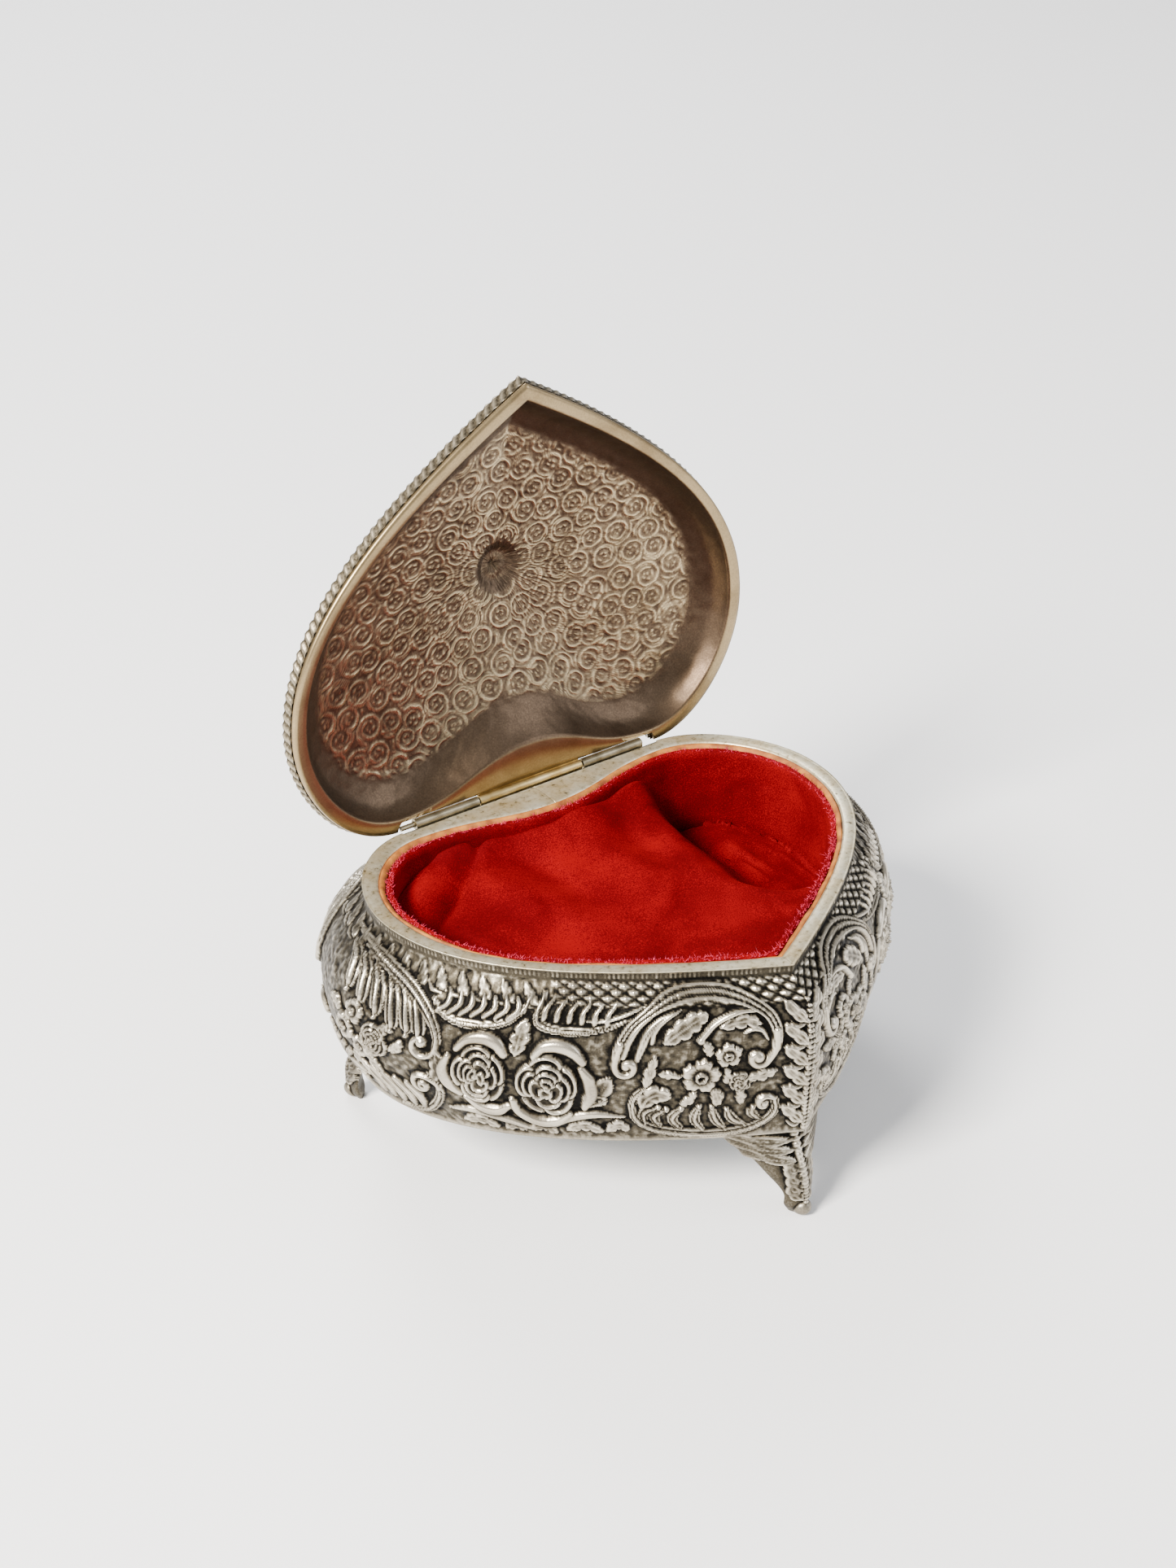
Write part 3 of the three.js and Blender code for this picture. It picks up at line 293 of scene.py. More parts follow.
# %% Stage
def make_stage():
    bpy.ops.object.select_all(action="DESELECT")
    bpy.ops.mesh.primitive_plane_add(size=6, location=(0, 0, -0.05 * MM))
    floor = bpy.context.object
    floor.name = "floor"
    floor.data.transform(floor.matrix_world)
    floor.matrix_world = Matrix.Identity(4)
    m = new_finish("pale_paper")
    shader = add(m, "ShaderNodeBsdfPrincipled", Base_Color=linear("fbfbfc"), Roughness=0.6)
    floor.data.materials.append(put_out(m, shader))


def add_lamp(name, place, size, power, colour):
    """Square area lamp that looks at the middle of the box."""
    data = bpy.data.lights.new(name, "AREA")
    data.size, data.energy, data.color = size, power, linear(colour)[:3]
    lamp = bpy.data.objects.new(name, data)
    bpy.context.scene.collection.objects.link(lamp)
    lamp.location = Vector(place)
    aim = Vector((0, 0, 0.05)) - lamp.location
    lamp.rotation_euler = aim.to_track_quat("-Z", "Y").to_euler()


make_stage()
add_lamp("key", (-0.95, -0.2, 0.85), 0.4, 60, "fffaf2")
add_lamp("fill", (0.9, -0.9, 0.7), 0.9, 9, "f4f7ff")
add_lamp("rim", (0.3, 1.1, 0.9), 0.6, 18, "ffffff")
world = bpy.data.worlds.new("studio")
bpy.context.scene.world = world
world.use_nodes = True
world.node_tree.nodes["Background"].inputs["Color"].default_value = linear("f2f3f5")
world.node_tree.nodes["Background"].inputs["Strength"].default_value = 0.72

# %% [markdown]
# ## The heart outline
#
# Lid, casket, lining and plate all follow one heart. It could be drawn as one curve object, but the
# pieces need it moved in and out again and again, so it is worked out as points. Half of it is
# three cubic curves: the almost straight flank, the round lobe and the shallow back. The outline
# can be moved outwards by a different amount at its sides, point, lobe backs and notch, which is
# how the casket swells below its rim.

# %% Heart outline in millimetres
HALF_WIDTH = 50
POINT_Y = -47.2
WIDEST_Y = 8.3
LOBE_X, LOBE_Y = 29.5, 34.5
NOTCH_Y = 33.2
FLANK_X, FLANK_RISE, FLANK_DROP = 34.9, 19.5, 18.5
LOBE_RISE, LOBE_RUN = 13.2, 10.5
FLANK_ANGLE = math.atan2(FLANK_RISE, FLANK_X)
RIM_Z = 51
BASE_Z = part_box("casket_body")[0].z / MM
HINGE_JOINT = next(j for j in frame["joints"] if j["name"] == "lid_hinge")
HINGE = Vector(HINGE_JOINT["pos_m"]) / MM
HINGE_Y = 33.7  # of the hinge in the heart's own frame
SHIFT_Y = HINGE.y - HINGE_Y  # from the heart's own frame to the box's frame
LID_OPEN = math.radians(87)


def bezier(points, t):
    """Points on a cubic curve at parameters t."""
    a, b, c, d = (np.array(p, float) for p in points)
    t = t[:, None]
    return (1 - t) ** 3 * a + 3 * t * (1 - t) ** 2 * b + 3 * t * t * (1 - t) * c + t ** 3 * d


def half_heart(side, point, rear, notch):
    """Half outline from the heart's point over the +X lobe to the notch."""
    spread = (side + point) / 2
    tip = (0, POINT_Y - point / math.cos(FLANK_ANGLE))
    flank = (FLANK_X + spread * math.sin(FLANK_ANGLE),
             POINT_Y + FLANK_RISE - spread * math.cos(FLANK_ANGLE))
    widest = (HALF_WIDTH + side, WIDEST_Y)
    lobe = (LOBE_X + side * 0.4, LOBE_Y + rear)
    middle = (0, NOTCH_Y + notch)
    curves = [
        (tip, flank, (widest[0], WIDEST_Y - FLANK_DROP), widest),
        (widest, (widest[0], WIDEST_Y + LOBE_RISE + rear * 0.4),
         (lobe[0] + LOBE_RUN + side * 0.3, lobe[1]), lobe),
        (lobe, (lobe[0] * 0.55, lobe[1]), (lobe[0] * 0.4, middle[1]), middle),
    ]
    parts = [bezier(c, np.linspace(0, 1, n + 1)[:-1]) for c, n in zip(curves, (90, 70, 40))]
    return np.vstack([*parts, [middle]])


def along(half, shares):
    """Points at equal-length shares (0 the point, 1 the notch) of a half outline."""
    lengths = np.hypot(*np.diff(half, axis=0).T)
    walk = np.concatenate([[0], np.cumsum(lengths)])
    s = shares * walk[-1]
    return np.stack([np.interp(s, walk, half[:, 0]), np.interp(s, walk, half[:, 1])], -1)


belly_half = half_heart(7, 2.8, 7, 1.2)
HALF_LENGTH = float(np.hypot(*np.diff(belly_half, axis=0).T).sum())
print("half way round the belly:", round(HALF_LENGTH, 1), "mm")

# %% [markdown]
# ## Relief as height over a sheet
#
# Cast ornament has soft, rounded forms that melt into their ground. Each leaf could be a mesh of its
# own, but hundreds of them would cross each other and never join the wall. So the ornament is drawn
# as height over a fine sheet: every stroke raises the sheet to its own profile, and the highest one
# wins, as a modeller adds wax. First come the lines that strokes follow, and a way to place them.

# %% Lines and their placing
def smooth_line(points):
    """Catmull-Rom curve through given points, with nine samples to a span."""
    p = np.array(points, float)
    p = np.vstack([2 * p[0] - p[1], p, 2 * p[-1] - p[-2]])
    t = np.linspace(0, 1, 10)[:-1, None]
    spans = []
    for a, b, c, d in zip(p[:-3], p[1:-2], p[2:-1], p[3:]):
        spans.append(0.5 * (2 * b + (c - a) * t + (2 * a - 5 * b + 4 * c - d) * t ** 2
                            + (3 * b - a - 3 * c + d) * t ** 3))
    return np.vstack([*spans, p[-2:-1]])


def curl_in(points, eye, turns=1.0, close=0.25):
    """Adds a spiral round `eye` to the end of a line of points."""
    line = [np.array(p, float) for p in points]
    arm, run = line[-1] - eye, line[-1] - line[-2]
    hand = np.sign(arm[0] * run[1] - arm[1] * run[0]) or 1
    start, r0 = math.atan2(arm[1], arm[0]), np.hypot(*arm)
    for k in range(1, int(turns * 8) + 1):
        share = k / (turns * 8)
        angle = start + hand * 2 * math.pi * turns * share
        r = r0 * (1 - (1 - close) * share)
        line.append(np.array(eye) + r * np.array([math.cos(angle), math.sin(angle)]))
    return [tuple(p) for p in line]


class Placing:
    """Moves, turns and mirrors an ornament drawn in its own millimetres."""

    def __init__(self, at=(0, 0), turn=0.0, flip=False):
        self.at, self.turn, self.flip = np.array(at, float), math.radians(turn), flip

    def __call__(self, points):
        """The points where they belong on the sheet."""
        p = np.array(points, float).reshape(-1, 2)
        if self.flip:
            p[:, 0] = -p[:, 0]
        c, s = math.cos(self.turn), math.sin(self.turn)
        return p @ np.array([[c, s], [-s, c]]) + self.at


HERE = Placing()
print("a stroke over two spans has", len(smooth_line([(0, 0), (1, 0), (2, 1)])), "samples")

# %% [markdown]
# ## Strokes and bosses
#
# A modelling tool leaves a rounded ridge that tapers at both ends, fluted or with a vein down its
# middle, and a punch leaves a round boss. Both are profiles of the distance to a line or a point.
# `Relief` holds the two surface coordinates of each point, in millimetres, and its height.

# %% Strokes and bosses
class Relief:
    """Height over a sheet, kept as three flat lists: coordinates a and b, and the height."""

    def __init__(self, a, b):
        self.a, self.b = a.ravel(), b.ravel()
        self.shape = a.shape
        self.height = np.zeros(a.size)

    def near(self, points, reach):
        """Indices of the sheet's points in the box round some points."""
        low, high = points.min(0) - reach, points.max(0) + reach
        return np.flatnonzero((self.a > low[0]) & (self.a < high[0])
                              & (self.b > low[1]) & (self.b < high[1]))

    def raise_to(self, index, height):
        """Lifts points of the sheet, unless they are higher already."""
        self.height[index] = np.maximum(self.height[index], height)

    def grid(self):
        """The height as rows and columns."""
        return self.height.reshape(self.shape)

    def stroke(self, points, width, height, place=HERE, ends=(0.25, 0.25), fat=0.5, flutes=0,
               vein=0.0):
        """Rounded ridge. `ends` are its widths at both ends, `fat` where it is widest."""
        line = place(smooth_line(points))
        width = width / 2
        for chunk in np.array_split(self.near(line, width), 1 + len(line) // 60):
            if len(chunk) == 0:
                continue
            da = self.a[chunk, None] - line[None, :, 0]
            db = self.b[chunk, None] - line[None, :, 1]
            d2 = da * da + db * db
            nearest = d2.argmin(1)
            t = nearest / (len(line) - 1)
            away = np.sqrt(d2[np.arange(len(chunk)), nearest])
            taper = np.where(t < fat, ends[0] + (1 - ends[0]) * np.sin(t / fat * math.pi / 2),
                             ends[1] + (1 - ends[1]) * np.sin((1 - t) / (1 - fat) * math.pi / 2))
            x = away / (width * taper)
            body = np.sqrt(np.clip(1 - x ** 2.4, 0, 1))
            if flutes:
                body = body * (0.66 + 0.34 * np.cos(2 * math.pi * flutes * x))
            body = body - vein * np.exp(-(away / 0.16) ** 2)
            inside = x < 1
            tall = height * (0.45 + 0.55 * taper) * body
            self.raise_to(chunk[inside], tall[inside])

    def dome(self, at, r, height, place=HERE, hollow=0.0):
        """Round boss, with an eye pressed into it where `hollow` is given."""
        centre = place([at])[0]
        index = self.near(centre[None], r)
        q = np.hypot(self.a[index] - centre[0], self.b[index] - centre[1]) / r
        tall = height * np.sqrt(np.clip(1 - q * q, 0, 1)) - hollow * np.exp(-(q / 0.38) ** 2)
        self.raise_to(index[q < 1], tall[q < 1])


def patch_of(kind, wide, deep, step=0.25):
    """A small flat sheet to try ornament on."""
    return kind(*np.meshgrid(np.arange(0, wide, step), np.arange(0, deep, step)))


trial = patch_of(Relief, 10, 4)
trial.stroke([(1, 2), (9, 2)], 2, 1.2)
print("a stroke 2 mm wide stands", round(float(trial.height.max()), 2), "mm high")

# %% [markdown]
# ## Leaves and flowers
#
# Leaves, open flowers and roses are only longer sums of the same kind. A leaf has a saw-toothed
# width along its line. A flower has a width that waves with the angle. A rose is laid petal by
# petal, the outermost round first, each one a cup with a rolled lip that hides the one below it,
# which is what makes it read as a rose and not as rings.

# %% Leaves and flowers
class Ornament(Relief):
    """Relief that also knows leaves, flowers and roses."""

    def leaf(self, points, width, height, place=HERE, lobes=5):
        """Leaf with a lobed edge and a midrib."""
        line = place(smooth_line(points))
        width = width / 2
        index = self.near(line, width * 1.3)
        if len(index) == 0:
            return
        da = self.a[index, None] - line[None, :, 0]
        db = self.b[index, None] - line[None, :, 1]
        d2 = da * da + db * db
        nearest = d2.argmin(1)
        t = nearest / (len(line) - 1)
        away = np.sqrt(d2[np.arange(len(index)), nearest])
        saw = np.abs(np.sin(math.pi * lobes * t)) ** 0.6
        edge = np.sin(math.pi * np.clip(t * 0.96 + 0.04, 0, 1)) ** 0.6 * (0.66 + 0.34 * saw)
        x = away / (width * np.maximum(edge, 0.05))
        inside = x < 1
        ribs = 0.16 * np.cos(2 * math.pi * (lobes * t - 0.6 * x)) * x
        cup = 0.62 + 0.38 * x ** 1.5
        tall = height * np.clip(1 - x ** 6, 0, 1) ** 0.5 * (cup + ribs)
        tall += 0.35 * height * np.exp(-(away / 0.22) ** 2) * (1 - t)
        self.raise_to(index[inside], tall[inside])

    def flower(self, at, r, height, place=HERE, turn=0.0):
        """Open flower: five cupped petals round a ringed eye."""
        petals = 5
        centre = place([at])[0]
        index = self.near(centre[None], r * 1.1)
        da, db = self.a[index] - centre[0], self.b[index] - centre[1]
        q = np.hypot(da, db) / r
        angle = np.arctan2(db, da) + turn + place.turn
        fan = np.abs(np.cos(petals * angle / 2))
        edge = 0.62 + 0.38 * fan ** 0.45
        ruffle = 1 + 0.05 * np.cos(3 * petals * angle)
        x = q / (edge * ruffle)
        petal = height * (0.35 + 0.65 * np.clip(x, 0, 1) ** 1.3) * np.clip(1 - x ** 8, 0, 1) ** 0.5
        petal = petal * (0.7 + 0.3 * fan ** 0.5)
        eye = height * 1.15 * np.exp(-((q - 0.24) / 0.085) ** 2) + 0.5 * height * np.exp(-(q / 0.1) ** 2)
        tall = np.maximum(petal, eye)
        self.raise_to(index[x < 1], tall[x < 1])

    def rose(self, at, rx, ry, height, place=HERE, turn=0.0, rings=4):
        """Full rose: rounds of cupped petals, each laid over the one outside it, up to the bud."""
        centre = place([at])[0]
        index = self.near(centre[None], max(rx, ry) * 1.15)
        da, db = (self.a[index] - centre[0]) / rx, (self.b[index] - centre[1]) / ry
        q = np.hypot(da, db)
        tall = height * 0.45 * np.sqrt(np.clip(1 - (q / 0.8) ** 2, 0, 1))
        rounds = ((0.60, 0.56, 0.38, 5), (0.44, 0.44, 0.30, 4), (0.28, 0.36, 0.24, 3),
                  (0.15, 0.24, 0.16, 2), (0.04, 0.12, 0.1, 1))
        for ring, (far, wide, deep, count) in enumerate(rounds[:rings]):
            for petal in range(count):
                aim = turn + 2 * math.pi * (petal + 0.37 * ring) / count
                aim += 0.16 * math.sin(5 * petal + ring)
                reach = far * (1 + 0.07 * math.sin(3 * petal + 2 * ring + 4 * turn))
                out = da * math.cos(aim) + db * math.sin(aim) - reach
                across = db * math.cos(aim) - da * math.sin(aim)
                e = np.sqrt((out / deep) ** 2 + (across / wide) ** 2)
                lip = np.exp(-((e - 0.84) / 0.15) ** 2) * np.clip(out / deep * 0.9 + 0.5, 0, 1)
                form = height * (0.42 + 0.13 * ring + 0.34 * lip - 0.2 * (1 - e))
                form = form * np.sqrt(np.clip(1 - e ** 12, 0, 1))
                tall = np.where(e < 1, form, tall)
        self.raise_to(index, tall)


trial = patch_of(Ornament, 12, 12)
trial.rose((6, 6), 5, 5, 2)
print("a rose 10 mm wide stands", round(float(trial.height.max()), 2), "mm high")

# %% [markdown]
# ## Blanks: a fine grid wrapped into a closed skin
#
# A displacement modifier could push the ornament out, but it wants a picture to read. Instead, every
# cast piece starts as a flat grid primitive. Its rows and columns are laid on the shape, edges that
# meet are merged, and open ends are filled, which gives a closed body. The height of the relief
# moves each point along the base shape's own normal, and the same height leaves the "crest"
# attribute behind for the finish.

# %% Wrapping helpers
def grid_blank(name, rows, columns):
    """Flat grid with rows x columns points; point (i, j) is vertex i * columns + j."""
    bpy.ops.object.select_all(action="DESELECT")
    bpy.ops.mesh.primitive_grid_add(x_subdivisions=columns - 1, y_subdivisions=rows - 1, size=1)
    blank = bpy.context.object
    blank.name = name
    blank.data.name = name
    return blank


def surface_normals(place):
    """Unit normals of a grid of points, from its own differences."""
    across = np.gradient(place, axis=1)
    down = np.gradient(place, axis=0)
    normal = np.cross(across, down)
    return normal / np.maximum(np.linalg.norm(normal, axis=-1, keepdims=True), 1e-9)


def soften(height, reach):
    """Box blur of a grid over 2 * reach + 1 points, run twice."""
    n = 2 * reach + 1
    for axis in (0, 1, 0, 1):
        margin = [(reach, reach) if a == axis else (0, 0) for a in (0, 1)]
        total = np.cumsum(np.insert(np.pad(height, margin, mode="edge"), 0, 0, axis), axis)
        height = (np.take(total, range(n, total.shape[axis]), axis)
                  - np.take(total, range(0, total.shape[axis] - n), axis)) / n
    return height


def crest_of(height):
    """0 in recesses to 1 on crests: local height against near and wider surroundings."""
    fine = (height - soften(height, 1)) / 0.10
    broad = (height - soften(height, 3)) / 0.30
    return np.clip(0.36 + 0.2 * fine + 0.34 * broad + 0.1 * np.clip(height, 0, 1.5), 0, 1)


def write_points(piece, place, closed=False, **shades):
    """Puts the grid's points in place, in metres, and stores the values that the finish reads.
    Where the columns go all the way round, the last one is laid exactly on the first."""
    if closed:
        place[:, -1] = place[:, 0]
    points = (place.reshape(-1, 3) + [0, SHIFT_Y, 0]) * MM
    piece.data.vertices.foreach_set("co", points.astype(np.float32).ravel())
    for name, values in shades.items():
        store = piece.data.attributes.new(name, "FLOAT", "POINT")
        spread = np.broadcast_to(values, place.shape[:2]).astype(np.float32)
        store.data.foreach_set("value", spread.ravel())
    piece.data.update()


print("crest of a flat sheet:", crest_of(np.zeros((9, 9)))[4, 4])


# %% Closing and finishing a piece
def close_up(piece, merge=0.002):
    """Merges edges that meet, fills open ends, makes the faces point outwards and shades smooth."""
    bpy.ops.object.select_all(action="DESELECT")
    piece.select_set(True)
    bpy.context.view_layer.objects.active = piece
    bpy.ops.object.mode_set(mode="EDIT")
    bpy.ops.mesh.select_all(action="SELECT")
    bpy.ops.mesh.remove_doubles(threshold=merge * MM)
    bpy.ops.mesh.select_all(action="SELECT")
    bpy.ops.mesh.fill_holes(sides=0)
    bpy.ops.mesh.select_all(action="SELECT")
    bpy.ops.mesh.normals_make_consistent(inside=False)
    bpy.ops.object.mode_set(mode="OBJECT")
    bpy.ops.object.shade_smooth()
    piece.select_set(False)
    return piece


def settle(piece, body, finish, *nodes, slot=None):
    """Last steps of every piece: finish, body and the mechanical parts that it stands for."""
    piece.data.materials.append(finish)
    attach(piece, body)
    if nodes:
        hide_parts(*nodes)
    print(piece.name, "faces", len(piece.data.polygons))
    return piece


def hermite(x, knots, values):
    """Smooth curve through a few values at their knots."""
    knots, values = np.array(knots, float), np.array(values, float)
    slope = np.gradient(values, knots, axis=0)
    i = np.clip(np.searchsorted(knots, x, side="right") - 1, 0, len(knots) - 2)
    h = knots[i + 1] - knots[i]
    t = (x - knots[i]) / h
    a, b, s, e = values[i], values[i + 1], slope[i] * h, slope[i + 1] * h
    return ((2 * t ** 3 - 3 * t ** 2 + 1) * a + (t ** 3 - 2 * t ** 2 + t) * s
            + (3 * t ** 2 - 2 * t ** 3) * b + (t ** 3 - t ** 2) * e)


print("half way from 0 to 1:", hermite(0.5, (0, 1), (0, 1)))

# %% [markdown]
# ## Ornament of the casket's wall
#
# The coordinates are millimetres round the belly from the heart's point, and millimetres down from
# the rim. The wall tells one story on each half: a column of feathered leaves climbs the front
# corner, an arched C-scroll shelters a small bouquet, two big roses sit below a pair of shell
# scrolls, and an acanthus plume sweeps round the lobe. A lattice fills the strip below the rim.
# Each motif is a function of its own, so that the back of the casket can use it again, turned over.

# %% Scroll and bouquet beside the front corner
def measure(*motifs):
    """Draws each motif on a coarse sheet and prints how far it stands out and what it covers."""
    for motif in motifs:
        sheet = patch_of(Ornament, 200, 36, step=0.5)
        motif(sheet)
        print(motif.__name__, "stands", round(float(sheet.height.max()), 2), "mm proud on",
              round(int((sheet.height > 0).sum()) / 4), "square mm")


def arched_scroll(relief, place=HERE):
    """C-scroll with a volute at both ends and leaf tongues under its arch."""
    arch = [(33.9, 15.2), (33.3, 11.5), (31.4, 7.7), (28.4, 5.2), (24.6, 3.9), (20.2, 3.4),
            (15.3, 3.6), (11.0, 4.7), (7.6, 6.9), (6.0, 10.1), (6.2, 13.4)]
    right_end = curl_in(arch[-3:] + [(7.3, 15.6)], (9.2, 15.2), turns=0.8, close=0.35)
    left_end = curl_in([arch[1], arch[0], (33.4, 16.9)], (31.9, 15.9), turns=0.9, close=0.3)
    relief.stroke(arch, 2.7, 1.15, place, ends=(0.75, 0.8), flutes=1.5)
    relief.stroke(right_end[1:], 1.5, 1.2, place, ends=(0.9, 0.6))
    relief.stroke(left_end, 1.5, 1.2, place, ends=(0.9, 0.6))
    relief.dome((9.2, 15.2), 1.2, 1.35, place)
    relief.dome((32.0, 15.7), 0.9, 1.2, place)
    relief.stroke([(32.6, 13.8), (31.9, 11), (30.6, 8.4), (28.6, 6.6)], 1.3, 0.95, place, ends=(1, 0.3))
    relief.stroke([(30.2, 14.8), (29.6, 12.3), (28.9, 9.8), (27.4, 7.6), (25.2, 6)], 1.7, 0.9, place,
                  ends=(0.5, 0.3), vein=0.3)
    relief.stroke([(27.9, 11.2), (27.6, 9.2), (26.2, 7.2), (23.9, 5.6)], 1.1, 0.9, place,
                  ends=(0.8, 0.3))
    relief.leaf([(25.6, 11.3), (23.2, 9.4), (20.6, 7.5), (18.6, 6.4)], 4.4, 0.95, place, lobes=4)
    relief.stroke([(19.4, 11), (18.6, 10), (17.3, 8.4), (15.2, 7), (12.6, 6.2), (10, 6.3)], 1.3, 1.05,
                  place, ends=(0.9, 0.4))
    relief.dome((19.4, 11.2), 0.8, 1.1, place)
    relief.leaf([(16, 8.9), (13.6, 8.2), (11.2, 8), (8.8, 8.8)], 2.9, 0.95, place, lobes=3)
    relief.stroke([(11.7, 10.3), (10.3, 9.6), (8.7, 10), (7.7, 11.8)], 1.0, 0.9, place, ends=(0.5, 0.4))


def bouquet(relief, place=HERE):
    """Anemone, daisy, small rose and leaves."""
    for points, width in (([(28.6, 20.2), (27.8, 17.2), (27.0, 13.9)], 2.2),
                          ([(22.6, 18.2), (24.6, 17.8), (26.2, 17.6)], 1.6),
                          ([(17.6, 14.2), (18.0, 12.8), (18.6, 11.4)], 1.9),
                          ([(10.8, 19.4), (8.4, 19.2), (5.8, 18.4)], 2.4),
                          ([(16.8, 21.4), (16.2, 23.2), (16.4, 25.2)], 2.6),
                          ([(12.4, 22), (12, 23.6), (12.2, 25.2)], 2.0),
                          ([(20, 22), (21.2, 23.6), (22.8, 24.8)], 1.9),
                          ([(14.6, 17.2), (14.4, 18.8), (14.9, 20.4)], 1.5)):
        relief.leaf(points, width, 0.95, place, lobes=3)
    relief.flower((19.0, 18.4), 3.5, 1.5, place, turn=0.5)
    relief.flower((14.4, 14.4), 2.4, 1.3, place, turn=0.2)
    relief.rose((12.2, 20.2), 1.9, 2.2, 1.35, place, turn=0.4, rings=3)
    relief.stroke([(10.2, 17.4), (8.2, 18), (6.8, 19.4)], 0.6, 0.7, place)


def cradle_scroll(relief, place=HERE):
    """Wide scroll below the bouquet, with tongues that curl up from it."""
    path = [(28.6, 20.6), (30.4, 22.4), (31.2, 25), (30.8, 27.8), (28.4, 29.9), (24.6, 31.1),
            (20, 31.8), (15.3, 31.9), (10.8, 31.1), (7.3, 29.3), (5.8, 27.2), (6, 25)]
    relief.stroke(path, 1.9, 1.15, place, ends=(0.5, 0.8), flutes=1)
    relief.stroke(curl_in(path[-2:] + [(6.4, 24.4)], (7.7, 25.5), 0.9), 1.2, 1.1, place)
    relief.dome((7.8, 25.4), 0.9, 1.2, place)
    relief.leaf([(29.6, 24.6), (28.2, 22.6), (26.2, 21.9), (24.4, 23)], 4.2, 1.1, place, lobes=3)
    for foot, bend, tip in (((29.4, 29), (29.2, 26.2), (26.6, 25)),
                            ((26.4, 30.2), (27.6, 27.2), (25.2, 25.6)),
                            ((22.6, 31), (24.4, 28), (22.6, 25.6)),
                            ((18.8, 31.4), (20.4, 28.4), (19.4, 25.2)),
                            ((14.8, 31.2), (16.6, 28.6), (17.2, 25.6)),
                            ((11.2, 30.4), (13.6, 28.6), (14.6, 26.2)),
                            ((8.4, 29.4), (10, 27.6), (9.8, 26.2))):
        relief.stroke([foot, bend, tip], 2.0, 1.0, place, ends=(0.35, 0.3), fat=0.55, flutes=1)
        relief.dome(tip, 0.5, 1.0, place)


measure(arched_scroll, bouquet, cradle_scroll)


# %% Roses under their shells
def double_rose(relief, place=HERE):
    """Two full-blown roses, their outer petals and the leaf between them."""
    relief.leaf([(51.2, 14), (51, 11), (51.2, 7.6)], 3.8, 1.1, place, lobes=3)
    relief.stroke([(47.8, 14), (46.4, 12.2), (43.6, 12), (41.2, 13), (39.4, 15)], 2.6, 1.35, place,
                  ends=(0.7, 0.6))
    relief.stroke([(39.6, 16.4), (38.2, 19), (38, 22), (39.6, 25)], 2.7, 1.1, place, ends=(0.5, 0.5))
    relief.stroke([(52.2, 24), (51.6, 26.6), (48.6, 28.6), (45, 28.4), (42.2, 26.4)], 2.3, 1.2, place,
                  ends=(0.6, 0.4))
    relief.rose((45.6, 20), 5.6, 6.5, 2.1, place, turn=0.9, rings=5)
    relief.stroke([(61.6, 14.2), (60, 12.2), (57.4, 11.6), (54.8, 12.4), (53.2, 14.2)], 2.6, 1.3, place,
                  ends=(0.6, 0.7))
    relief.stroke([(63.2, 16.2), (64.2, 19), (63.6, 22), (61.8, 24)], 2.6, 1.1, place, ends=(0.5, 0.5))
    relief.stroke([(60.8, 24.6), (58.4, 26.6), (55.6, 26.9), (53.2, 25.6)], 2.4, 1.2, place,
                  ends=(0.5, 0.5))
    relief.rose((57.6, 18.9), 5.0, 6.1, 2.0, place, turn=2.4, rings=5)
    relief.leaf([(65.6, 15.4), (65.2, 18.6), (66.4, 22.4)], 3, 0.85, place, lobes=3)


def shell_scroll(relief, place=HERE):
    """Shell edge that hangs below the lattice: a tapering rib with combed tongues inside it."""
    rib = [(49.6, 3.8), (49.9, 6.2), (48.6, 8.2), (45.4, 9.2), (40.8, 9.4), (36, 8.6), (31.4, 6.8)]
    relief.stroke(rib, 1.5, 1.1, place, ends=(0.7, 0.4), flutes=1)
    for k in range(6):
        root = np.array([48.1 - 2.35 * k, 7.4 + 0.12 * k])
        relief.stroke([root, root + (0.5, -1.6), root + (-0.4, -3.1)], 1.15, 0.9 - 0.04 * k, place,
                      ends=(0.9, 0.4), fat=0.35)
    relief.stroke([(40.6, 7.6), (37, 7.4), (33, 6), (29.8, 4.6)], 0.9, 0.8, place)


def shell_scroll_rear(relief):
    """The matching shell on the far side of the roses."""
    rib = [(52.2, 4.2), (52.8, 6.8), (54.6, 8.6), (58, 9.5), (63, 9.6), (67, 8.4), (70, 6.6)]
    relief.stroke(rib, 1.5, 1.1, ends=(0.7, 0.4), flutes=1)
    for k in range(7):
        root = np.array([54.4 + 2.2 * k, 7.8 + 0.1 * k])
        relief.stroke([root, root + (-0.9, -1.4), root + (0.2, -3.2)], 1.25, 0.9 - 0.04 * k,
                      ends=(0.9, 0.4), fat=0.35)


measure(double_rose, shell_scroll, shell_scroll_rear)


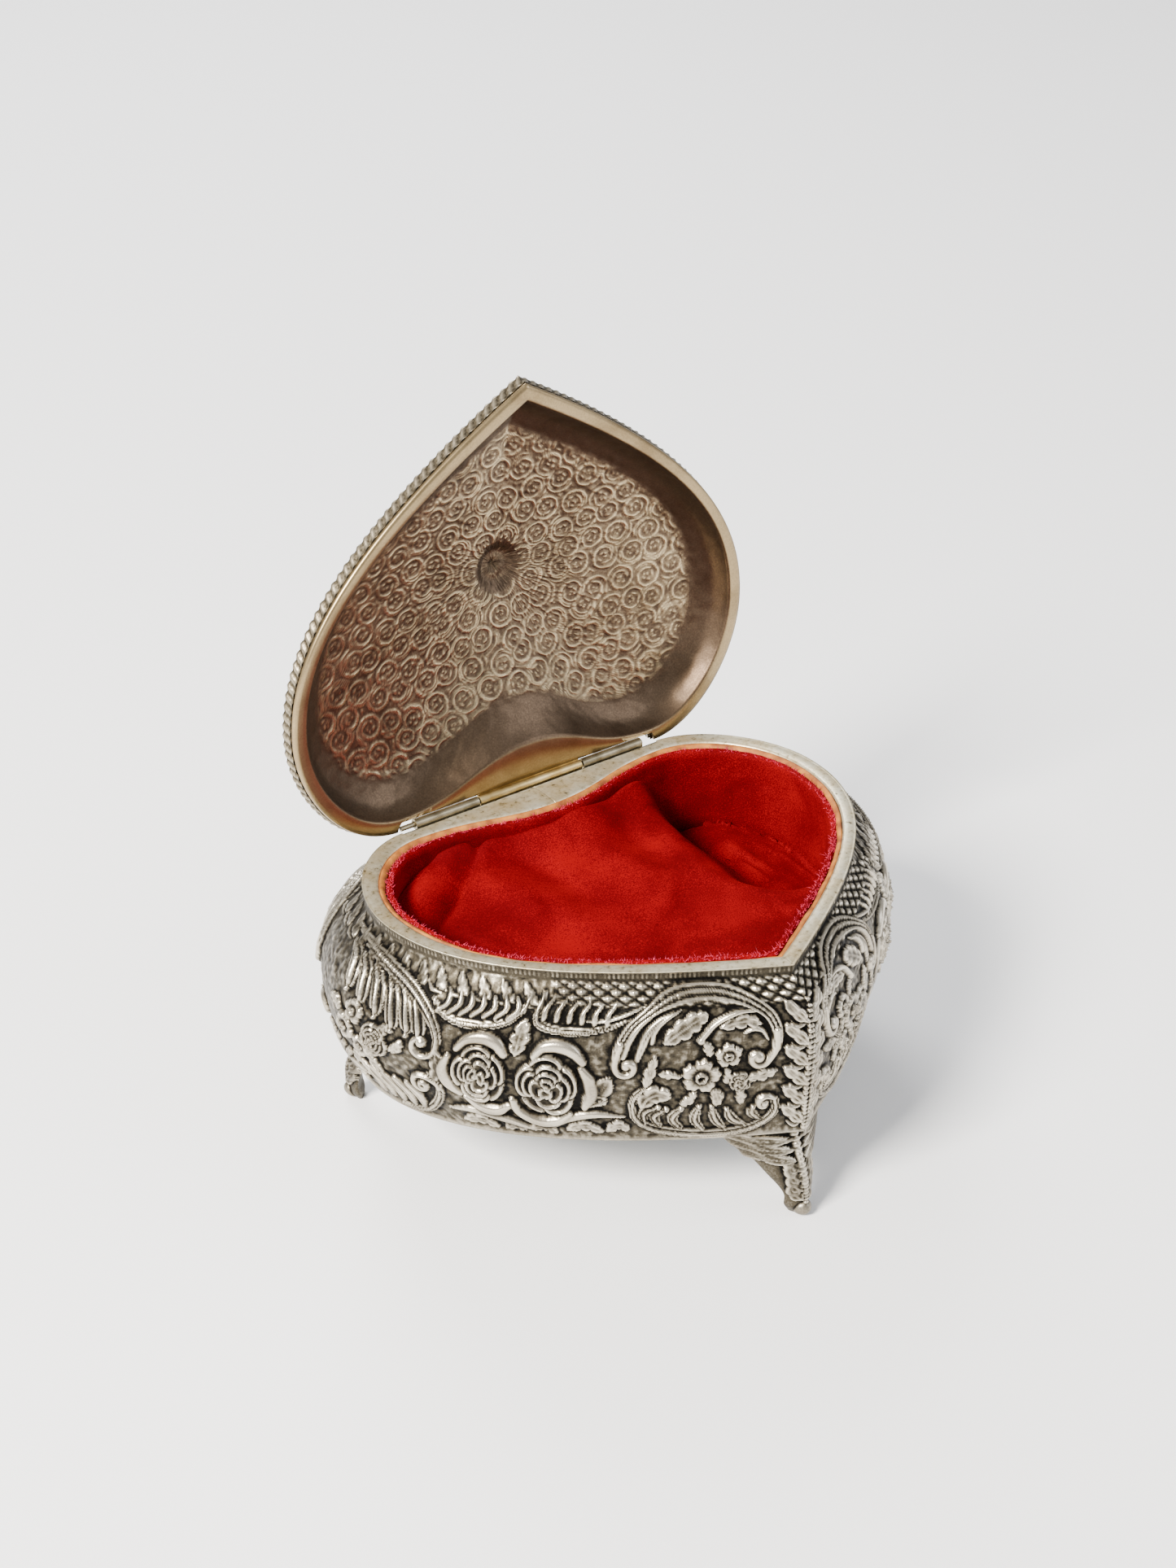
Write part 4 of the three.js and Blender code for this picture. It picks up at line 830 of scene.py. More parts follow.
# %% Plume, flowers and foot shell round the lobe
def plume(relief):
    """Acanthus plume that sweeps along the rim and curls over at its end."""
    stem = [(98, 3.6), (93, 3.9), (87.8, 4.3), (81.5, 5), (76, 6.1), (71.5, 7.8), (68, 10),
            (65.8, 12.8), (65.6, 15.2)]
    relief.stroke(stem, 1.9, 1.2, ends=(0.3, 0.8), flutes=1)
    relief.stroke(curl_in(stem[-2:] + [(66.6, 16.9)], (68.2, 15.0), 0.8, 0.3), 1.4, 1.2)
    relief.dome((68.3, 14.6), 1.1, 1.3)
    for points in ([(73.4, 7.4), (70.9, 9.8), (69.4, 12.6)],
                   [(77.3, 6.4), (74.2, 8.4), (71.9, 12.2)],
                   [(80.9, 6.0), (77.6, 8.4), (75.1, 12.4)],
                   [(85.4, 5.8), (81.9, 7.8), (79.4, 11.2)],
                   [(90, 5.6), (86.4, 7.2), (83.8, 10.6)],
                   [(95, 5.2), (91, 6.6), (88.4, 9.6)]):
        tip = np.array(points[-1])
        relief.stroke([*points, tip + (-0.2, 1.8)], 2.9, 1.15, ends=(0.3, 0.12), fat=0.6,
                      flutes=1)
        relief.dome(tip + (-0.3, 2.0), 0.5, 0.9)
    for points in ([(75.4, 7), (72.6, 9.2), (71, 12)], [(79.1, 6.4), (76, 8.4), (73.8, 11.6)],
                   [(83.2, 6.2), (79.8, 8), (77.6, 11)]):
        relief.stroke(points, 0.8, 0.75, ends=(0.3, 0.5))


def lobe_bouquet(relief):
    """Flowers on the round of the lobe."""
    for points in ([(75.4, 13.4), (76.6, 15), (77, 17)], [(80.6, 21), (79.6, 23), (78, 24.6)],
                   [(88.6, 16), (90.6, 15), (92.4, 14.6)], [(84, 22.4), (85, 24.4), (86.6, 26)],
                   [(74.6, 18.2), (73.2, 17.2), (72.4, 15.8)]):
        relief.leaf(points, 2.4, 0.9, lobes=3)
    relief.rose((78.4, 17.6), 3.1, 3.5, 1.5, turn=0.3, rings=4)
    relief.flower((84.2, 14.2), 2.5, 1.2, turn=0.4)
    relief.flower((86.8, 18.6), 2.8, 1.3, turn=1.1)
    relief.flower((82.4, 20.8), 2.2, 1.15, turn=0.8)


def foot_shell(relief, place=HERE):
    """Volute and fanned tongues where a lobe foot joins the wall."""
    rib = [(67.2, 21.2), (65.8, 23.6), (66.8, 26.6), (69.4, 29.4), (73, 31.4), (78, 32)]
    relief.stroke(rib, 1.6, 1.15, place, ends=(0.6, 0.5), flutes=1)
    relief.stroke(curl_in([(66, 25), (66.2, 23.2), (67.6, 22)], (69, 23.9), 0.9), 1.2, 1.1, place)
    relief.dome((69, 24), 1.2, 1.3, place, hollow=0.7)
    for k in range(5):
        foot = np.array([71.6 + 2.5 * k, 30.6])
        relief.stroke([foot, foot + (-0.5, -3.2), foot + (1.2 + 0.25 * k, -5.6)], 2.0, 1.0, place,
                      ends=(0.4, 0.7), vein=0.25)


measure(plume, lobe_bouquet, foot_shell)


# %% Leaves below, at the corner and along the rim
def lower_leaves(relief, place=HERE):
    """Long leaf along the lower edge, from the cradle scroll to the lobe foot."""
    relief.stroke([(65.4, 28.4), (60, 27.8), (54.4, 29.2), (50, 31)], 1.9, 0.9, place, ends=(0.3, 0.5))
    relief.stroke([(33, 27.2), (38, 26.6), (42.6, 27.6), (46.4, 30)], 1.8, 0.9, place, ends=(0.3, 0.5))
    for points in ([(63.4, 30.6), (59.8, 30), (57, 31.6)], [(50.4, 30.4), (47.8, 30), (46, 31.8)],
                   [(43.8, 30.4), (40.4, 29.4), (37.2, 31)], [(36.6, 30.4), (34.2, 29.2), (32.4, 30.4)],
                   [(55.6, 31.2), (53.4, 30.2), (51.6, 31.4)]):
        relief.leaf(points, 2.6, 0.8, place, lobes=3)
    relief.leaf([(39.6, 24.6), (36.8, 21.6), (34.6, 18.2)], 4.4, 0.75, place, lobes=2)
    relief.flower((36.6, 23.2), 1.3, 1.0, place)


def corner_feathers(relief):
    """Column of leaves that climbs the front corner."""
    relief.stroke([(0.2, 32), (0.5, 24), (0.3, 14), (0.2, 5)], 1.3, 1.0, ends=(0.8, 0.5))
    for k in range(6):
        v = 6.4 + 4.3 * k
        relief.leaf([(0.6, v + 2.6), (2.6, v + 0.6), (4.7, v - 1.6)], 2.7, 1.15, lobes=2)
        relief.stroke([(0.8, v + 3), (2.2, v + 3.4), (3.6, v + 2.4)], 0.8, 0.8)


def rim_leaves(relief):
    """Small running foliage that takes the lattice's place over the roses and round the lobe."""
    for k in range(24):
        u = 50.5 + 4.6 * k
        relief.leaf([(u, 5.2), (u + 1.8, 4.3), (u + 3.6, 2.7)], 1.8, 0.34, lobes=3)
        relief.stroke([(u + 0.4, 5.8), (u + 2.6, 5.6), (u + 4.4, 4.6)], 0.6, 0.35)


measure(lower_leaves, corner_feathers, rim_leaves)


# %% Bands under the rim, and the whole wall
def wall_bands(relief):
    """Fluting under the rim and the lattice of small pyramids below it."""
    u, v = relief.a, relief.b
    one, two = u / 3.4 + v / 1.35, u / 3.4 - v / 1.35
    pyramid = np.minimum(np.abs((one % 1) - 0.5), np.abs((two % 1) - 0.5))
    fade = np.clip((v - 2.0) / 0.2, 0, 1) * np.clip((5.3 - v) / 0.4, 0, 1)
    fade = fade * np.clip((49 - u) / 2, 0, 1)
    worn = 0.5 + 0.5 * np.sin(u * 1.7 + 2 * np.sin(u * 0.43)) * np.sin(u * 0.29)
    flute = 0.2 * (0.5 + 0.5 * np.cos(2 * math.pi * u / 0.95)) * worn * ((v > 0.4) & (v < 1.7))
    relief.height = np.maximum(relief.height, np.maximum(1.5 * pyramid * fade, flute))


def dress_wall(relief):
    """All ornament of one half of the wall: the front, then motifs turned over for the back."""
    for motif in (wall_bands, rim_leaves, lower_leaves, corner_feathers, shell_scroll,
                  shell_scroll_rear, plume, foot_shell, arched_scroll, cradle_scroll, bouquet,
                  double_rose, lobe_bouquet):
        motif(relief)
    for motif, turned_about in ((arched_scroll, 141), (bouquet, 141), (cradle_scroll, 141),
                                (lower_leaves, 150), (foot_shell, 172), (double_rose, 200.5),
                                (shell_scroll, 200.5)):
        motif(relief, Placing(at=(turned_about, 0), flip=True))


measure(wall_bands, dress_wall)

# %% [markdown]
# ## The casket
#
# The real casting is one thin shell. One closed mesh of it, fine enough for the relief, would pass
# 200,000 triangles, so it is made as two mirrored halves that meet at the front corner and at the
# notch, each a closed body. One grid covers the outside from the lower edge to the rim, then the
# rim, and then the inside down to the lower edge again.

# %% Outline of the wall
RIM_INSET, RIM_WIDTH, LEDGE_WIDTH, WALL = 1.7, 3.0, 8.0, 2.6
WALL_H = RIM_Z - BASE_Z
BAND_H = 2.6  # of the plain band under the rim, before the wall swells
# How far side, point, lobe backs and notch swell, at shares of the height down from the rim.
BULGE_AT = (0, BAND_H / WALL_H, 0.15, 0.26, 0.38, 0.515, 0.667, 0.818, 1)
BULGE = ((0, 0, 0, 0), (0.3, 0.3, 0.3, 0), (3, 3.4, 3, 0.2), (6, 4.1, 6, 0.6), (7.9, 4.5, 7.9, 1.1),
         (8.7, 4.4, 8.7, 1.4), (8.3, 4.1, 8.3, 1.4), (6.9, 3.7, 6.9, 1.1), (4.4, 3.1, 4.4, 0.6))
CHANNEL_HALF = 29.3  # room for the hinge barrel at the back
CHANNEL_Y = HINGE_Y - 1.3
COLUMNS, OUTER_ROWS = 620, 132


def wall_row(share, inset, ledge, z):
    """Row of the half casket at a share of its height from the rim, moved in by `inset`."""
    side, point, rear, notch = hermite(share, BULGE_AT, BULGE)
    r = -RIM_INSET - inset
    half = half_heart(r + side, r + point, r + rear, r + RIM_INSET + notch - ledge)
    row = np.zeros((1, COLUMNS, 3))
    row[0, :, :2] = along(half, np.linspace(0, 1, COLUMNS))
    row[0, :, 2] = z
    return row


def clear_channel(place, level):
    """Holds back what would stand in the hinge's channel, where `level` is true."""
    inside = (np.abs(place[..., 0]) < CHANNEL_HALF) & level
    place[..., 1] = np.where(inside, np.minimum(place[..., 1], CHANNEL_Y), place[..., 1])


shares = np.linspace(1, 0, OUTER_ROWS)
bare_wall = np.concatenate([wall_row(share, 0, 0, RIM_Z - WALL_H * share) for share in shares])
print("wall of one half:", bare_wall.shape[:2], "points, widest at",
      round(float(bare_wall[..., 0].max()), 1), "mm")

# %% Relief of the wall
walk = np.broadcast_to(np.linspace(0, HALF_LENGTH, COLUMNS), (OUTER_ROWS, COLUMNS))
down = np.broadcast_to((shares * WALL_H)[:, None], (OUTER_ROWS, COLUMNS))
wall_relief = Ornament(walk, down)
dress_wall(wall_relief)
# Ornament dies out at the rim and at the lower edge, so that both stay clean.
wall_fade = (np.clip(shares * WALL_H / 0.9, 0, 1)[:, None]
             * np.clip((1 - shares) * WALL_H / 0.7, 0, 1)[:, None])
print("highest ornament:", round(float(wall_relief.height.max()), 2), "mm")

# %% Casket halves
GROUND = -0.45  # the ground of the relief lies behind the wall's mean face
FINE_GRAIN, COARSE_GRAIN = 0.05, 0.06  # roughness of the cast ground between the ornaments
RIM_SINK = 0.16  # keeps the rim clear of the closed lid
RIM_SECTION = ((0.25, 0.0), (0.6, -0.12), (1.5, -0.16), (2.4, -0.12), (2.8, 0.0), (3.0, 0.3),
               (3.0, 3.0))  # inset and drop across the rim, a flat crown between two round edges


def casket_half(name, sign, *nodes):
    """One half of the casting; `sign` is the side it lies on."""
    height = wall_relief.grid()
    grain = soften(rng.normal(0, 1, height.shape), 1)
    coarse = soften(rng.normal(0, 1, height.shape), 3)
    ground = (height < 0.35) & (down > np.where(walk < 48, 5.4, 2.1))
    height = height + (FINE_GRAIN * grain / grain.std()
                       + COARSE_GRAIN * coarse / coarse.std()) * ground
    normals = surface_normals(bare_wall)
    normals[:, 0, 0] = normals[:, -1, 0] = 0  # keeps the seam in the middle plane
    outward = np.sign(normals[:, 40, 0].mean())
    outer = bare_wall + outward * normals * ((height + GROUND) * wall_fade)[..., None]
    rows = [outer]
    for inset, drop in RIM_SECTION:
        ledge = (LEDGE_WIDTH - RIM_WIDTH) * inset / RIM_WIDTH
        rows.append(wall_row(0, inset, ledge, RIM_Z - drop - RIM_SINK))
    for share in (0.3, 0.6, 0.85, 1.0):
        under_lining = 0.0 if share == 1 else -1.0
        rows.append(wall_row(share, WALL, 5 * (1 - 0.65 * share),
                             RIM_Z - WALL_H * share + under_lining))
    rows.append(outer[:1])
    place = np.concatenate(rows)
    clear_channel(place, place[..., 2] > RIM_Z - 5)
    crest = np.full(place.shape[:2], 0.9)
    crest[:OUTER_ROWS] = crest_of(height) * wall_fade + 0.75 * (1 - wall_fade)
    place[..., 0] *= sign
    piece = grid_blank(name, *place.shape[:2])
    write_points(piece, place, crest=crest)
    rim_faces = np.zeros((place.shape[0] - 1, COLUMNS - 1), np.int32)
    rim_faces[OUTER_ROWS - 2:OUTER_ROWS + 5] = 1  # 1 is the rim's own finish
    piece.data.polygons.foreach_set("material_index", rim_faces.ravel())
    settle(close_up(piece), "casket", CASKET_SILVER, *nodes, slot="casket_silver")
    piece.data.materials.append(RIM_PLATE)


casket_half("casket_left", -1, "casket_body")
casket_half("casket_right", 1)

# %% [markdown]
# ## The lid
#
# The lid is one thin casting, 2.1 mm thick. The outside is a low dome with ornament of its own, and
# a rope edge runs round its skirt. The inside shows the back of the mould: a smooth mating band, a
# rounded cove, and a ceiling rolled with small spiral curls. It is drawn closed, in rings from the
# heart's outline to its middle, and then swung open about the hinge. Square grid cells would cut
# the outline into steps, while rings follow it. Inside and outside are two skins, each closed by
# the same hidden face in the middle of the metal, so that each can be fine enough.

# %% Lid rings
LID_LOW = HINGE.z
CROWN = np.array([0.0, -8.0])
SKIRT_H, DOME_RISE, BOSS_R, BOSS_RISE = 2.7, 12.2, 5.5, 2.4
LID_COLUMNS = 600


def lid_outline(inset, notch_extra=0.0):
    """Whole outline of the lid, moved in by `inset`, from the point round to the point again."""
    half = along(half_heart(-inset, -inset, -inset, -inset - notch_extra),
                 np.linspace(0, 1, LID_COLUMNS // 2 + 1))
    mirrored = half[::-1] * [-1, 1]
    return np.vstack([half, mirrored[1:]])


def ring_at(inset, z, extra=0.0):
    """Ring of points on the lid, moved in by `inset`, and further in at the notch by `extra`."""
    ring = np.zeros((LID_COLUMNS + 1, 3))
    ring[:, :2] = lid_outline(inset, extra)
    ring[:, 2] = z
    return ring


def shrink(ring, share, z):
    """The ring drawn together towards the crown."""
    out = ring.copy()
    out[:, :2] = CROWN + (ring[:, :2] - CROWN) * share
    out[:, 2] = z
    return out


def middle_surface():
    """Hidden face half-way through the lid's metal, from the crown out to the edge. Each of the
    lid's two skins is closed by it."""
    edge = ring_at(8.8, LID_LOW + 7.3, 2.0)
    rings = [shrink(edge, s, LID_LOW + 7.3 + 3.7 * (1 - s ** 2) + 1.8 * math.exp(-(s / 0.16) ** 4))
             for s in (0.004, 0.05, 0.1, 0.15, 0.2, 0.3, 0.45, 0.6, 0.75, 0.9)]
    return rings + [edge, ring_at(6.2, LID_LOW + 6.1, 1.6), ring_at(3.8, LID_LOW + 4.5, 1.0),
                    ring_at(1.7, LID_LOW + 2.6, 0.4), ring_at(0.5, LID_LOW + 1.5)]


def lid_rings(stops, height_at, rows_to_middle):
    """Rings from the hidden face through (inset, height, notch extra) stops and on to the crown."""
    shown = [ring_at(*stop) for stop in stops]
    shares = [max(s, 0.004) for s in np.linspace(1, 0, rows_to_middle + 1)[1:]]
    last = shown[-1]
    hidden = middle_surface()
    return np.stack(hidden + shown + [shrink(last, s, height_at(s)) for s in shares]), len(hidden)


def swing_open(piece):
    """Turns a closed lid piece to where it stands open."""
    turn = (Matrix.Translation(HINGE * MM) @ Matrix.Rotation(-LID_OPEN, 4, "X")
            @ Matrix.Translation(-HINGE * MM))
    piece.data.transform(turn)
    piece.data.update()


print("rings have", LID_COLUMNS, "points, the hidden face", len(middle_surface()), "rings")

# %% [markdown]
# ## Spiral curls of the ceiling
#
# The ceiling looks rolled: small curls, no two alike, packed side by side until they touch. Carving
# each one would take hundreds of lines. Instead, eyes are scattered on a staggered grid, every
# point of the ceiling belongs to its nearest eye, and winds round it by distance and angle. The
# border between two curls is where two eyes are equally near.

# %% Spiral curls
CURL_PITCH, CURL_REACH = 5.5, -56  # spacing of the eyes, and where their grid starts


def curl_field(x, y):
    """Height of a ceiling covered in curls: every point belongs to its nearest curl."""
    eyes = np.array([(CURL_REACH + CURL_PITCH * (i + 0.5 * (j % 2)), CURL_REACH + CURL_PITCH * 0.87 * j)
                     for j in range(22) for i in range(20)], float)
    eyes += rng.uniform(-1.1, 1.1, eyes.shape)
    spin = rng.choice([-1.0, 1.0], len(eyes))
    phase = rng.uniform(0, 2 * math.pi, len(eyes))
    height = np.zeros(x.size)
    xf, yf = x.ravel(), y.ravel()
    for chunk in np.array_split(np.arange(x.size), 40):
        dx = xf[chunk, None] - eyes[None, :, 0]
        dy = yf[chunk, None] - eyes[None, :, 1]
        d2 = dx * dx + dy * dy
        near = d2.argmin(1)
        pick = np.arange(len(chunk))
        first = np.sqrt(d2[pick, near])
        d2[pick, near] = 1e9
        second = np.sqrt(d2.min(1))
        angle = np.arctan2(dy[pick, near], dx[pick, near])
        wind = first / 1.2 - spin[near] * (angle + phase[near]) / (2 * math.pi)
        line = np.exp(-((wind % 1 - 0.5) / 0.15) ** 2)
        ticks = 0.5 + 0.5 * np.sin(4 * angle + 5 * first * spin[near] + phase[near] * 3)
        line = line * np.where(first < 0.28 * CURL_PITCH, np.clip(1.7 * ticks - 0.2, 0, 1), 1)
        arc = np.clip(1.2 + np.sin(angle * spin[near] + phase[near] * 5), 0, 1)
        circle = arc * np.exp(-((first - 0.42 * CURL_PITCH) / 0.15) ** 2)
        border = np.clip((second - first) / 0.45, 0, 1)
        height[chunk] = np.maximum(line * border, circle * (0.6 + 0.4 * border))
    return height.reshape(x.shape)


print("curls are", CURL_PITCH, "mm apart")

# %% [markdown]
# ## Inside of the lid
#
# From the edge inwards come the flat band that meets the rim, golden where the plate is worn, then
# the smooth cove, and then the rolled ceiling with a pressed dimple at the crown, which a boss on
# the outside answers. The stops give the cove's section; a bevel could only give an arc.

# %% Inside of the lid
def lid_inside():
    """Band, cove and ceiling, with the hidden face that closes them."""
    stops = [(0.15, LID_LOW + 1.3, 0), (0.0, LID_LOW + 0.5, 0), (0.25, LID_LOW, 0.2),
             (0.9, LID_LOW - 0.06, 1.4), (1.7, LID_LOW - 0.06, 3.2), (2.5, LID_LOW, 5.2)]
    for t in np.linspace(0, 1, 26):
        inset = hermite(t, (0, 0.12, 0.3, 0.62, 1), (2.8, 3.3, 4.4, 7.2, 9.6))
        rise = hermite(t, (0, 0.12, 0.3, 0.62, 1), (0.2, 1.4, 3.2, 5.3, 6.3))
        stops.append((float(inset), LID_LOW + float(rise), 5.6 + 1.6 * min(1.0, t * 3)))
    ceiling_edge = LID_LOW + 6.3
    place, hidden = lid_rings(stops, lambda s: ceiling_edge + 3.8 * (1 - s ** 2), 118)
    x, y = place[..., 0], place[..., 1]
    cove = len(stops)
    ring = np.arange(place.shape[0])[:, None] - hidden  # 0 is the first ring that shows
    inner = np.clip((ring - cove + 9) / 7, 0, 1)
    q = np.hypot((x - CROWN[0]) / 4.2, (y - CROWN[1] - 0.4) / 4.8)
    dimple = 2.2 / (1 + np.exp((q - 0.78) / 0.15)) - 0.6 * np.exp(-((q - 0.35) / 0.22) ** 2)
    curls = curl_field(x, y) * inner * (q > 1.1)
    grain = soften(rng.normal(0, 1, x.shape), 1)
    place[..., 2] += (dimple - 0.17 * curls - 0.03 * grain / grain.std() * (ring > 6)) * (ring > 6)
    clear_channel(place, place[..., 2] < LID_LOW + 4.6)
    crest = np.clip(0.36 + 0.55 * curls * inner + 0.05 * grain / grain.std(), 0, 1)
    crest = np.where(ring < 6, 0.66, crest)
    crest = np.where((ring >= 6) & (ring < cove - 6), 0.3, crest)
    crest = crest - 0.1 * np.exp(-((q - 0.9) / 0.2) ** 2)
    flat_band = np.clip((6.5 - ring) / 2, 0, 1)
    warm = 0.3 + 0.22 * flat_band * np.clip((y - 24) / 4, 0, 1) + 0.2 * flat_band
    piece = grid_blank("lid_inside", *place.shape[:2])
    write_points(piece, place, closed=True, crest=crest, warm=warm)
    return close_up(piece, merge=0.004)


# %% [markdown]
# ## Outside of the lid
#
# The dome carries the same scrolls, leaves and roses as the wall, round a large rose on its boss. A
# rope edge runs round the skirt, and a row of gadroons, which are short rounded lobes, follows it
# on the slope. Both are waves along the outline, so they need no drawing of their own.

# %% Ornament of the dome
def dress_lid(relief):
    """Ornament of the dome: scrolls round the edge, a bouquet of roses in the middle."""
    for flip in (False, True):
        place = Placing(flip=flip)
        relief.stroke([(2.5, -38), (12, -31), (22, -23), (31, -13), (37, -2), (38.6, 9)], 2.6, 1.1,
                      place, ends=(0.3, 0.9), flutes=1.5)
        relief.stroke(curl_in([(38.4, 6), (38.6, 9), (37.6, 13)], (34, 12), 1.0), 1.8, 1.1, place)
        relief.dome((34.2, 11.6), 1.6, 1.2, place)
        relief.stroke([(8, 25.5), (16, 29), (26, 28), (34, 23), (38, 17)], 2.3, 1.0, place,
                      ends=(0.4, 0.4), flutes=1)
        relief.stroke(curl_in([(14, 28), (9, 26), (6.4, 22.6)], (9.4, 20.6), 0.9), 1.5, 1.0, place)
        for k in range(6):
            at = np.array([9 + 5 * k, -30 + 6.2 * k])
            relief.stroke([at, at + (-2.6, 2.4), at + (-5.4, 2.2)], 2.4, 1.0, place, ends=(0.4, 0.8),
                          vein=0.3)
        for k in range(5):
            at = np.array([12 + 5 * k, 26.6 - 0.5 * k * k / 2])
            relief.stroke([at, at + (0.6, -3.0), at + (-1.6, -5.4)], 2.4, 1.0, place, ends=(0.4, 0.8),
                          vein=0.3)
        relief.leaf([(10, -4), (18, -6), (25, -3)], 6, 1.1, place, lobes=5)
        relief.leaf([(9, 2), (17, 8), (24, 13)], 6, 1.1, place, lobes=5)
        relief.rose((17.5, 2.5), 4.4, 4.4, 1.5, place, turn=0.7)
        relief.flower((24, -8.5), 3.2, 1.2, place)
        relief.flower((12.5, 14), 3.2, 1.2, place, turn=0.9)
        relief.flower((14, -14.5), 2.8, 1.2, place, turn=0.3)
    for turn in range(0, 360, 45):
        relief.leaf([(0, 5.2), (0.6, 8), (0, 11)], 4.6, 1.0, Placing(at=CROWN, turn=turn), lobes=3)
    relief.rose((0, 15.5), 4.4, 4.2, 1.5, turn=0.2)
    relief.rose((0, -24.5), 4.2, 4.4, 1.5, turn=1.2)
    relief.rose(tuple(CROWN), 5.2, 5.2, 1.3, turn=0.4, rings=5)


trial = Ornament(*np.meshgrid(np.arange(-50.0, 50.0), np.arange(-50.0, 50.0)))
dress_lid(trial)
print("ornament covers", round(float((trial.height > 0).mean()) * 100), "% of the lid's square")


# %% Outside of the lid
GADROONS, ROPE_PITCH = 64, 2.2


def lid_outside():
    """Skirt, slope and dome, with the hidden face that closes them."""
    base = [(0.1, LID_LOW + 1.3, 0), (-0.15, LID_LOW + 1.0, 0)]
    for t in np.linspace(0, 1, 9):
        base.append((-0.25 + 0.25 * math.cos(math.pi * t), LID_LOW + 1.0 + 1.9 * t, 0))
    for t in np.linspace(0, 1, 22)[1:]:
        inset = hermite(t, (0, 0.12, 0.4, 1), (0, 1, 3.2, 8))
        rise = hermite(t, (0, 0.12, 0.4, 1), (SKIRT_H + 0.2, 3.6, 5.6, 8.3))
        base.append((float(inset), LID_LOW + float(rise), 0))
    shoulder = LID_LOW + 8.3
    place, hidden = lid_rings(base, lambda s: shoulder + (DOME_RISE - 8.3) * (1 - s ** 1.8), 112)
    ring = np.arange(place.shape[0])[:, None] - hidden
    walk = np.linspace(0, 2 * HALF_LENGTH, LID_COLUMNS + 1)[None, :]
    rope = 0.3 * np.cos(2 * math.pi * (walk / ROPE_PITCH - ring / 11.0)) * ((ring > 1) & (ring < 12))
    x, y = place[..., 0], place[..., 1]
    relief = Ornament(x, y)
    dress_lid(relief)
    slope = np.clip((ring - 14) / 3, 0, 1) * np.clip((31 - ring) / 3, 0, 1)
    swing = math.pi * walk / (2 * HALF_LENGTH / GADROONS)
    gadroons = 0.6 * np.sqrt(np.abs(np.sin(swing))) + 0.25 * np.abs(np.cos(swing * 3)) * (ring % 7 < 3)
    height = np.maximum(relief.grid(), gadroons * slope)
    normals = surface_normals(place)
    if normals[len(base) + 60, 10, 2] < 0:
        normals = -normals
    q = np.hypot((x - CROWN[0]) / BOSS_R, (y - CROWN[1]) / BOSS_R)
    place[..., 2] += BOSS_RISE * np.clip(1 - q ** 2, 0, 1) ** 0.8 * (ring > 12)
    grain = soften(rng.normal(0, 1, x.shape), 1)
    lift = height * np.clip((ring - 12) / 4, 0, 1)
    lift = lift + 0.035 * grain / grain.std() * (height < 0.3) * (ring > 12)
    lift = lift - 0.1 * (ring > 12) + rope * 0.6
    place += normals * (lift * (ring > 0))[..., None]
    clear_channel(place, place[..., 2] < LID_LOW + 4.6)
    piece = grid_blank("lid_outside", *place.shape[:2])
    crest = np.maximum(crest_of(height), 0.3 + 0.35 * (rope > 0))
    write_points(piece, place, closed=True, crest=crest, warm=0.25)
    return close_up(piece, merge=0.004)


lid_ceiling = lid_inside()
lid_dome = lid_outside()
for piece in (lid_ceiling, lid_dome):
    swing_open(piece)
settle(lid_ceiling, "lid", LID_INNER_SILVER, slot="lid_silver")
settle(lid_dome, "lid", CASKET_SILVER, "lid_shell", slot="lid_silver")

# %% [markdown]
# ## The feet
#
# Three cast feet carry the box, one below the point and one below each lobe. A foot is a broad leaf
# that leaves the wall, narrows as it bends outwards, and ends in a small ball. Its front is ribbed
# like an acanthus leaf. Extruding a block step by step would give a smooth horn, but not the leaf
# on it. So the section, a rounded triangle with its ridge to the front, is carried down a curved
# path that starts just inside the lower edge of the wall, and takes its relief as the wall does.

# %% Feet
def toe_of(node):
    """The middle of a foot's lowest points."""
    points = np.array([v.co for v in frame["nodes"][node].data.vertices]) / MM
    lowest = points[points[:, 2] < points[:, 2].min() + 0.3]
    return lowest[:, :2].mean(0)


TOES = {node: toe_of(node) for node in ("front_foot", "left_foot", "right_foot")}
BACK_SWEEP = {"front_foot": 0.42, "left_foot": 0.12, "right_foot": 0.12}
FOOT_AROUND, FOOT_DOWN = 120, 150


